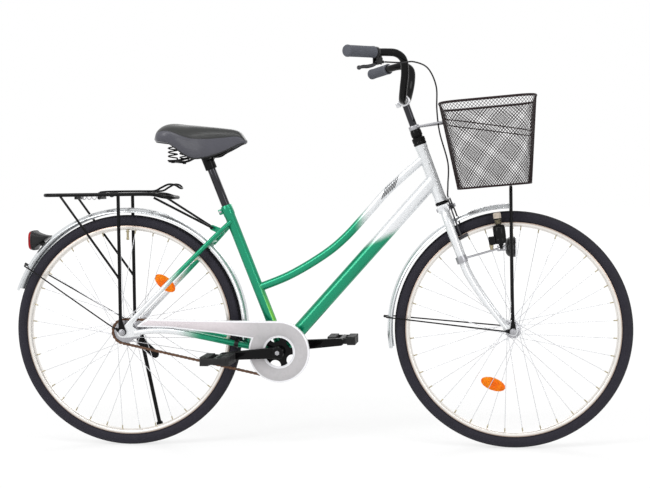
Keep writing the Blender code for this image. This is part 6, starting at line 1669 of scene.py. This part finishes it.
piece = finished("chain_guard_panel", "bike", guard_plastic, [guard], "chain_guard", 40)
wall = piece.modifiers.new("wall", "SOLIDIFY")
wall.thickness, wall.offset = 0.0013, -1
finished("chain_guard_lip", "bike", guard_plastic, [lip])
finished("chain_guard_clip", "bike", black_plastic, clip)

# %% [markdown]
# ## Seat
#
# The saddle is a foam pad under stretched vinyl: broad at the back, narrow at the nose, with
# a seam where the top panel meets the skirt. The skirt's edge is folded round a black base.
# The pad is lofted from sections whose width, crown and edge follow smooth curves, because
# its shape is a surface with a direction, and then subdivided once.

# %% Vinyl
vinyl = Look("vinyl", tint(66, 66, 70), 0.5, coat=0.1, gloss=0.38)
grain = vinyl.cells(520) + vinyl.noise(900, 2) * 0.4
panel = vinyl.node("ShaderNodeUVMap", uv_map="skirt")
height, run = vinyl.axis(1, panel), vinyl.axis(0, panel)
seam = height.band(0.42, 0.006, 0.008)
stitches = height.band(0.455, 0.004, 0.004) * ((run * 460).math("SINE")).rise(-0.3, 0.1)
# The skirt is lighter than the top: partly its own vinyl colour, partly a painted sheen on the
# saddle's sides.
skirt_tone_and_sheen = vinyl.mix(vinyl.noise(14, 4), tint(62, 62, 69), tint(80, 80, 88))
top_shade = vinyl.mix(vinyl.noise(18, 3), tint(34, 35, 35), tint(46, 47, 46))
shade = vinyl.mix(height.rise(0.40, 0.44), skirt_tone_and_sheen, top_shade)
vinyl.coloured(seam + stitches * 0.6, shade, tint(34, 34, 37))
vinyl.set(Roughness=vinyl.noise(30, 3) * 0.12 + 0.32)
vinyl.bump(grain * 0.18 - seam * 1.2 + stitches * 0.6, 0.0006, 0.7)

# %% Saddle pad
SEAT_HEAD = SEAT_TUBE_TOP + SEAT_UP * 0.150
SADDLE_BACK, SADDLE_LENGTH, SADDLE_HALF, SADDLE_BASE = -0.1494, 0.267, 0.100, 0.0465
SADDLE_SHAPE = [
    (0.00, 0.45, 0.025, 0.010), (0.05, 0.80, 0.045, 0.007), (0.12, 0.95, 0.058, 0.004),
    (0.20, 1.00, 0.062, 0.000), (0.28, 0.97, 0.061, -0.015), (0.36, 0.85, 0.058, -0.034),
    (0.45, 0.68, 0.056, -0.047), (0.55, 0.52, 0.053, -0.045), (0.66, 0.41, 0.050, -0.037),
    (0.78, 0.33, 0.046, -0.025), (0.88, 0.28, 0.042, -0.012), (0.95, 0.23, 0.033, -0.002),
    (1.00, 0.14, 0.012, 0.002),
]


def seat(ahead, up, left=0.0):
    return SEAT_HEAD + Vector((ahead, left, up))


def saddle_row(share, width, crown, edge, shrink=1.0):
    """One section: across the base, up the skirt and over the crown, then back down."""
    half = SADDLE_HALF * width
    base, side = max(0.0, edge - 0.003), edge + (crown - edge) * 0.30
    row = [(half * 0.30, base + 0.002), (half * 0.62, base), (half * 0.86, edge + 0.001),
           (half * 0.955, edge + 0.0025)]
    for angle in (pi / 2 * i / 15 for i in range(15)):
        up = side + (crown - side) * sin(angle) ** 0.9
        row.append((half * cos(angle) ** 0.7, up))
    row += [(0, crown)] + [(-left, up) for left, up in reversed(row)]
    ahead, middle = SADDLE_BACK + SADDLE_LENGTH * share, (crown + base) / 2
    return [
        seat(ahead, SADDLE_BASE + middle + (up - middle) * shrink, left * shrink)
        for left, up in row
    ]


table = [Vector(row) for row in SADDLE_SHAPE]


def saddle_shape(share):
    """The saddle's width, crown and edge at a share of its length."""
    index = max(i for i, row in enumerate(table[:-1]) if row.x <= share + 1e-9)
    a, b, c, d = (table[min(max(index + k, 0), len(table) - 1)] for k in (-1, 0, 1, 2))
    t = (share - b.x) / (c.x - b.x)
    bent = (b * 2 - a - c) * (t * (1 - t) ** 2 * 0.5) + (c * 2 - b - d) * (t * t * (1 - t) * 0.5)
    return (b + (c - b) * t + bent)[1:]


SADDLE_ROWS = 44
BACK_ROWS, NOSE_ROWS = ((-0.012, 0.55), (-0.006, 0.85)), ((1.006, 0.8), (1.010, 0.5))
shares = [i / SADDLE_ROWS for i in range(SADDLE_ROWS + 1)]
rows = [saddle_row(share, *table[0][1:], shrink) for share, shrink in BACK_ROWS]
rows += [saddle_row(share, *saddle_shape(share)) for share in shares]
rows += [saddle_row(share, *table[-1][1:], shrink) for share, shrink in NOSE_ROWS]
pad, rings = lofted(rows)
middle = (len(rows[0]) - 1) / 2
skirt_places = {
    corner: (number / (len(rows) - 1), 1 - abs(position - middle) / middle)
    for number, ring in enumerate(rings) for position, corner in enumerate(ring)
}
skirt = pad.loops.layers.uv.new("skirt")
for face in pad.faces:
    for corner in face.loops:
        corner[skirt].uv = skirt_places[corner.vert]
saddle = finished("saddle_pad", "seat", vinyl, pad, "saddle", 180)
subdivided = saddle.modifiers.new("fine", "SUBSURF")
subdivided.levels = subdivided.render_levels = 1

# %% [markdown]
# A black plastic base closes the pad from below, and only its rounded edge shows. The edge
# has to touch the skirt, and subdividing has pulled the skirt in a little, so its line is
# read from the finished pad: the lowest point of the skirt at each step along the saddle.

# %% Base edge of the saddle
fine_pad = saddle.evaluated_get(bpy.context.evaluated_depsgraph_get()).to_mesh()
left_half = [corner.co.copy() for corner in fine_pad.vertices if corner.co.y > 0]
lowest = []
for share in shares:
    reach = SADDLE_HALF * saddle_shape(share)[0] * 0.70
    place = seat(SADDLE_BACK + SADDLE_LENGTH * share, 0).x
    near = [point for point in left_half if abs(point.x - place) < 0.004 and point.y > reach]
    lowest.append(min(near, key=lambda point: point.z))
saddle.to_mesh_clear()
beside = zip(lowest[:1] + lowest, lowest, lowest[1:] + lowest[-1:])
edge_line = [(before + here * 2 + after) / 4 for before, here, after in beside]
edge_line += mirror_image(edge_line)
finished("saddle_base_edge", "seat", black_plastic, swept(edge_line, 0.0040, 12, closed=True))

# %% Rails, springs and post
half = [
    (-0.104, -0.004, 0.020), (-0.104, -0.004, 0.048), (-0.094, -0.004, 0.060),
    (-0.072, -0.001, 0.046), (-0.046, 0.007, 0.027), (-0.022, 0.010, 0.022),
    (0.028, 0.010, 0.022), (0.050, 0.019, 0.014), (0.068, 0.031, 0.011), (0.078, 0.0425, 0.011),
]
side_route = [seat(*point) for point in half]
shapes = [
    swept(smooth(mirror_image(side_route) + side_route, 6), 0.007, 20),
    bar(SEAT_HEAD - SEAT_UP * 0.030, SEAT_HEAD + SEAT_UP * 0.012, 0.035, 40, 0.002),
    block(seat(0.078, 0.043), (0.014, 0.026, 0.006), None, 0.0015),
]
for low, high, size, sides, bevel in (
    (-0.032, 0.032, 0.030, 40, 0.002), (-0.038, 0.038, 0.008, 20, 0.0004),
    (-0.0385, -0.0325, 0.013, 6, 0.0008), (0.0325, 0.0385, 0.013, 6, 0.0008),
):
    shapes.append(across_bar(seat(0, 0.0105), low, high, size, sides, bevel))
for side in (1, -1):
    spring_seat = seat(-0.0894, -0.0005, side * 0.060)
    washer = spring_seat - UP * 0.0035
    shapes += [bar(washer, spring_seat, 0.032, 40, 0.0008),
               bar(washer - UP * 0.006, washer, 0.012, 6, 0.0008)]
finished("saddle_rails", "seat", black_paint, shapes, "saddle_frame")
for name, side in (("saddle_spring_left", 1), ("saddle_spring_right", -1)):
    turns = coil(seat(-0.0894, -0.0002, side * 0.060), UP, 0.004, 0.030, 3.25, 0.0464)
    finished(f"{name}_wire", "seat", black_paint, swept(turns, 0.004, 16), name)
post = bar(SEAT_HEAD - SEAT_UP * 0.270, SEAT_HEAD - SEAT_UP * 0.002, 0.0254, 48, 0.001)
finished("seat_post_chromed", "seat", chrome_tube, post, "seat_post")

# %% [markdown]
# ## Basket
#
# The basket is woven wire on a frame of thicker wire. The walls start as a plain grid bent
# round the rounded rectangle; poking each cell and dissolving the old grid lines leaves the
# diamonds, and the Wireframe operator turns every remaining edge into a thin wire.

# %% Basket outline
BASKET_TILT, BASKET_DEPTH = radians(4.2), 0.248
BASKET_UP = Vector((-sin(BASKET_TILT), 0, cos(BASKET_TILT)))
BASKET_PLACE = axes_at(front(-0.049, 0.420), BASKET_UP)


def basket_line(height, grow=0.0):
    """The rounded rectangle at a height, from its front left corner round."""
    share = height / BASKET_DEPTH
    long, wide = 0.105 + 0.032 * share + grow, 0.130 + 0.040 * share + grow
    radius = 0.042 + 0.010 * share + grow
    points = []
    for across, left, turn in ((1, 1, 0), (-1, 1, 90), (-1, -1, 180), (1, -1, 270)):
        centre = (across * (long - radius), left * (wide - radius))
        start = radians(turn)
        points += arc(centre, radius, start, start + pi / 2, 10)
    return [BASKET_PLACE @ Vector((x, y, height)) for x, y in points]


# %% Woven walls and floor
def woven(cells_round, cells_up, place_of):
    """A grid turned into diamonds, each corner set by a function of its two shares."""
    mesh = bmesh.new()
    bmesh.ops.create_grid(mesh, x_segments=cells_round, y_segments=cells_up, size=0.5)
    for corner in mesh.verts:
        corner.co = place_of(corner.co.x + 0.5, corner.co.y + 0.5)
    bmesh.ops.remove_doubles(mesh, verts=mesh.verts, dist=1e-5)
    old = list(mesh.edges)
    bmesh.ops.poke(mesh, faces=list(mesh.faces))
    inner = [edge for edge in old if edge.is_valid and not edge.is_boundary]
    bmesh.ops.dissolve_edges(mesh, edges=inner, use_verts=False)
    mesh.normal_update()
    bmesh.ops.wireframe(
        mesh, faces=list(mesh.faces), thickness=0.0021, offset=0.5, use_replace=True,
        use_boundary=True, use_even_offset=False,
    )
    return mesh


COLUMNS, LEVELS = 112, 24
heights = [BASKET_DEPTH * i / LEVELS for i in range(LEVELS + 1)]
level_points = [spaced(basket_line(height), COLUMNS)[0] for height in heights]


def wall_place(share_round, share_up):
    level = level_points[round(share_up * LEVELS)]
    return level[round(share_round * COLUMNS) % COLUMNS]


def floor_place(share_long, share_wide):
    """The floor's grid, drawn in at its corners to follow the round outline."""
    x, y = (share_long - 0.5) * 2, (share_wide - 0.5) * 2
    pull = 1 - 0.075 * (x * y) ** 2
    return BASKET_PLACE @ Vector((x * 0.104 * pull, y * 0.129 * pull, 0.0012))


shapes = [woven(COLUMNS, LEVELS, wall_place), woven(19, 24, floor_place)]
finished("basket_mesh", "steering", basket_coat, shapes, "basket", 60)


# %% Basket frame wires
def hoop(height, grow=0.0):
    return spaced(basket_line(height, grow), 96)[0]


# The band's line slants across the walls, higher at the back than at the front.
into_basket = BASKET_PLACE.inverted()
forwards = [(into_basket @ point).x for point in hoop(0.175)]
band = [hoop(0.172 - 0.22 * forward)[i] for i, forward in enumerate(forwards)]
shapes = [
    swept(line, size, sides, closed=True)
    for line, size, sides in (
        (hoop(BASKET_DEPTH - 0.003, 0.0005), 0.0062, 16), (hoop(0.002), 0.0044, 12),
        (band, 0.0032, 12),
    )
]
for left in (-0.045, 0.045):
    ends = (BASKET_PLACE @ Vector((ahead, left, 0.001)) for ahead in (-0.103, 0.103))
    shapes.append(bar(*ends, 0.0034, 12))
finished("basket_frame_wires", "steering", basket_coat, shapes)

# %% Basket stay
floor_drop = (front(-0.002, 0) - BASKET_PLACE.translation).x * tan(BASKET_TILT)
top = 0.420 + floor_drop - 0.0045 - 0.0009
half = [(0, 0.016, FRONT_STAY_EYELET + 0.0015), (-0.001, 0.10, FRONT_STAY_EYELET - 0.0015),
        (-0.002, 0.312, 0.040), (-0.002, top - 0.020, 0.0345), (-0.002, top - 0.005, 0.028),
        (-0.002, top, 0.014)]
route = [front(*point) for point in half]
shapes = [swept(smooth(route + mirror_image(route), 6), 0.009, 24)]
outline = slot_outline((0, 0), (0, 0.026), 0.010, 0.0055)
shapes += axle_plates(outline, FRONT, FRONT_STAY_EYELET, 0.003, 0.0005)
finished("basket_stay_wire", "steering", black_paint, shapes, "basket_stay")

# %% [markdown]
# ## Side stand
#
# The stand's leg is a bar with a wider foot, which ends flat on the ground. It hangs from a
# bolt through the plate on the left end of the rear axle.

# %% Stand leg
hinge = rear(0.012, -0.048, REAR_NUT + 0.004)
stand_axis = Vector((-0.1, 1, 0.109)).normalized()
stand_foot = Vector((REAR.x + 0.030, 0.200, 0))
top = hinge + stand_axis * 0.0085
down = (stand_foot - top).normalized()
leg_line = [top + down * 0.010, stand_foot - down * 0.026, stand_foot - down * 0.020]
leg = swept(leg_line, 0.012, 24)
foot = bar(stand_foot - down * 0.028, stand_foot + down * 0.012, 0.020, 32, 0.0012)
cut = bmesh.ops.bisect_plane(
    foot, geom=foot.verts[:] + foot.edges[:] + foot.faces[:], plane_co=(0, 0, 0),
    plane_no=(0, 0, -1), clear_outer=True,
)["geom_cut"]
sole = [item for item in cut if isinstance(item, EDGE)]
bmesh.ops.contextual_create(foot, geom=sole)
eye = [
    (0.0046, 0.0025), (0.0104, 0.0025), (0.011, 0.0031), (0.011, 0.0144), (0.0104, 0.015),
    (0.0046, 0.015),
]
shapes = [spun(eye, axes_at(hinge, stand_axis), 40), leg, foot]
finished("stand_leg_painted", "side_stand", black_paint, shapes, "side_stand_leg")

# %% [markdown]
# ## Floor and light
#
# The photograph is a studio shot on white. Large soft lamps and a pale world light the
# bicycle evenly. The floor and the world look white to the camera and in reflections, while
# the floor still takes the bicycle's shadow.

# %% Floor and world
floor_look = bpy.data.materials.new("floor_white")
nodes = Shader(floor_look)
nodes.tree.nodes.clear()
where = nodes.node("ShaderNodeTexCoord", output="Object")
distance = nodes.node("ShaderNodeVectorMath", {0: where}, "Value", operation="LENGTH")
ends = {"Value": distance, "From Min": 1.0, "From Max": 3.2, "To Min": 0.66, "To Max": 1.0}
glowing = nodes.rays("Camera", "Glossy") * nodes.node("ShaderNodeMapRange", ends)
matt = nodes.node("ShaderNodeBsdfDiffuse", {"Color": (0.9, 0.9, 0.9, 1)})
glow = nodes.node("ShaderNodeEmission", {"Strength": 1.06})
both = nodes.node("ShaderNodeMixShader", {0: glowing, 1: matt, 2: glow})
nodes.node("ShaderNodeOutputMaterial", {"Surface": both})
floor_shape = bmesh.new()
bmesh.ops.create_grid(floor_shape, x_segments=1, y_segments=1, size=40)
floor_mesh = bpy.data.meshes.new("floor")
floor_shape.to_mesh(floor_mesh)
floor_shape.free()
floor_mesh.materials.append(floor_look)
placed("floor", floor_mesh)
world = bpy.data.worlds.new("studio")
nodes = Shader(world)
seen = nodes.rays("Camera", "Glossy", "Transmission")
strength = nodes.node("ShaderNodeMapRange", {"Value": seen, "To Min": 0.60, "To Max": 1.0})
background = nodes.tree.nodes["Background"]
nodes.feed(background.inputs["Strength"], strength)
nodes.feed(background.inputs["Color"], (1, 1, 1, 1))
bpy.context.scene.world = world

# %% Lamps
for name, place, wide, high, power in (
    ("key", (-2.4, -2.6, 2.4), 1.2, 2.2, 44), ("fill", (3.0, -2.6, 1.6), 1.0, 2.2, 24),
    ("strip", (0.1, -1.5, 2.9), 4.0, 0.5, 30), ("back", (0.4, 2.6, 2.4), 2.6, 1.6, 32),
):
    lamp = bpy.data.lights.new(name, "AREA")
    lamp.shape, lamp.size, lamp.size_y, lamp.energy = "RECTANGLE", wide, high, power
    item = placed(name, lamp)
    item.location = place
    aim = Vector((0, 0, 0.5)) - Vector(place)
    item.rotation_euler = aim.to_track_quat("-Z", "Y").to_euler()
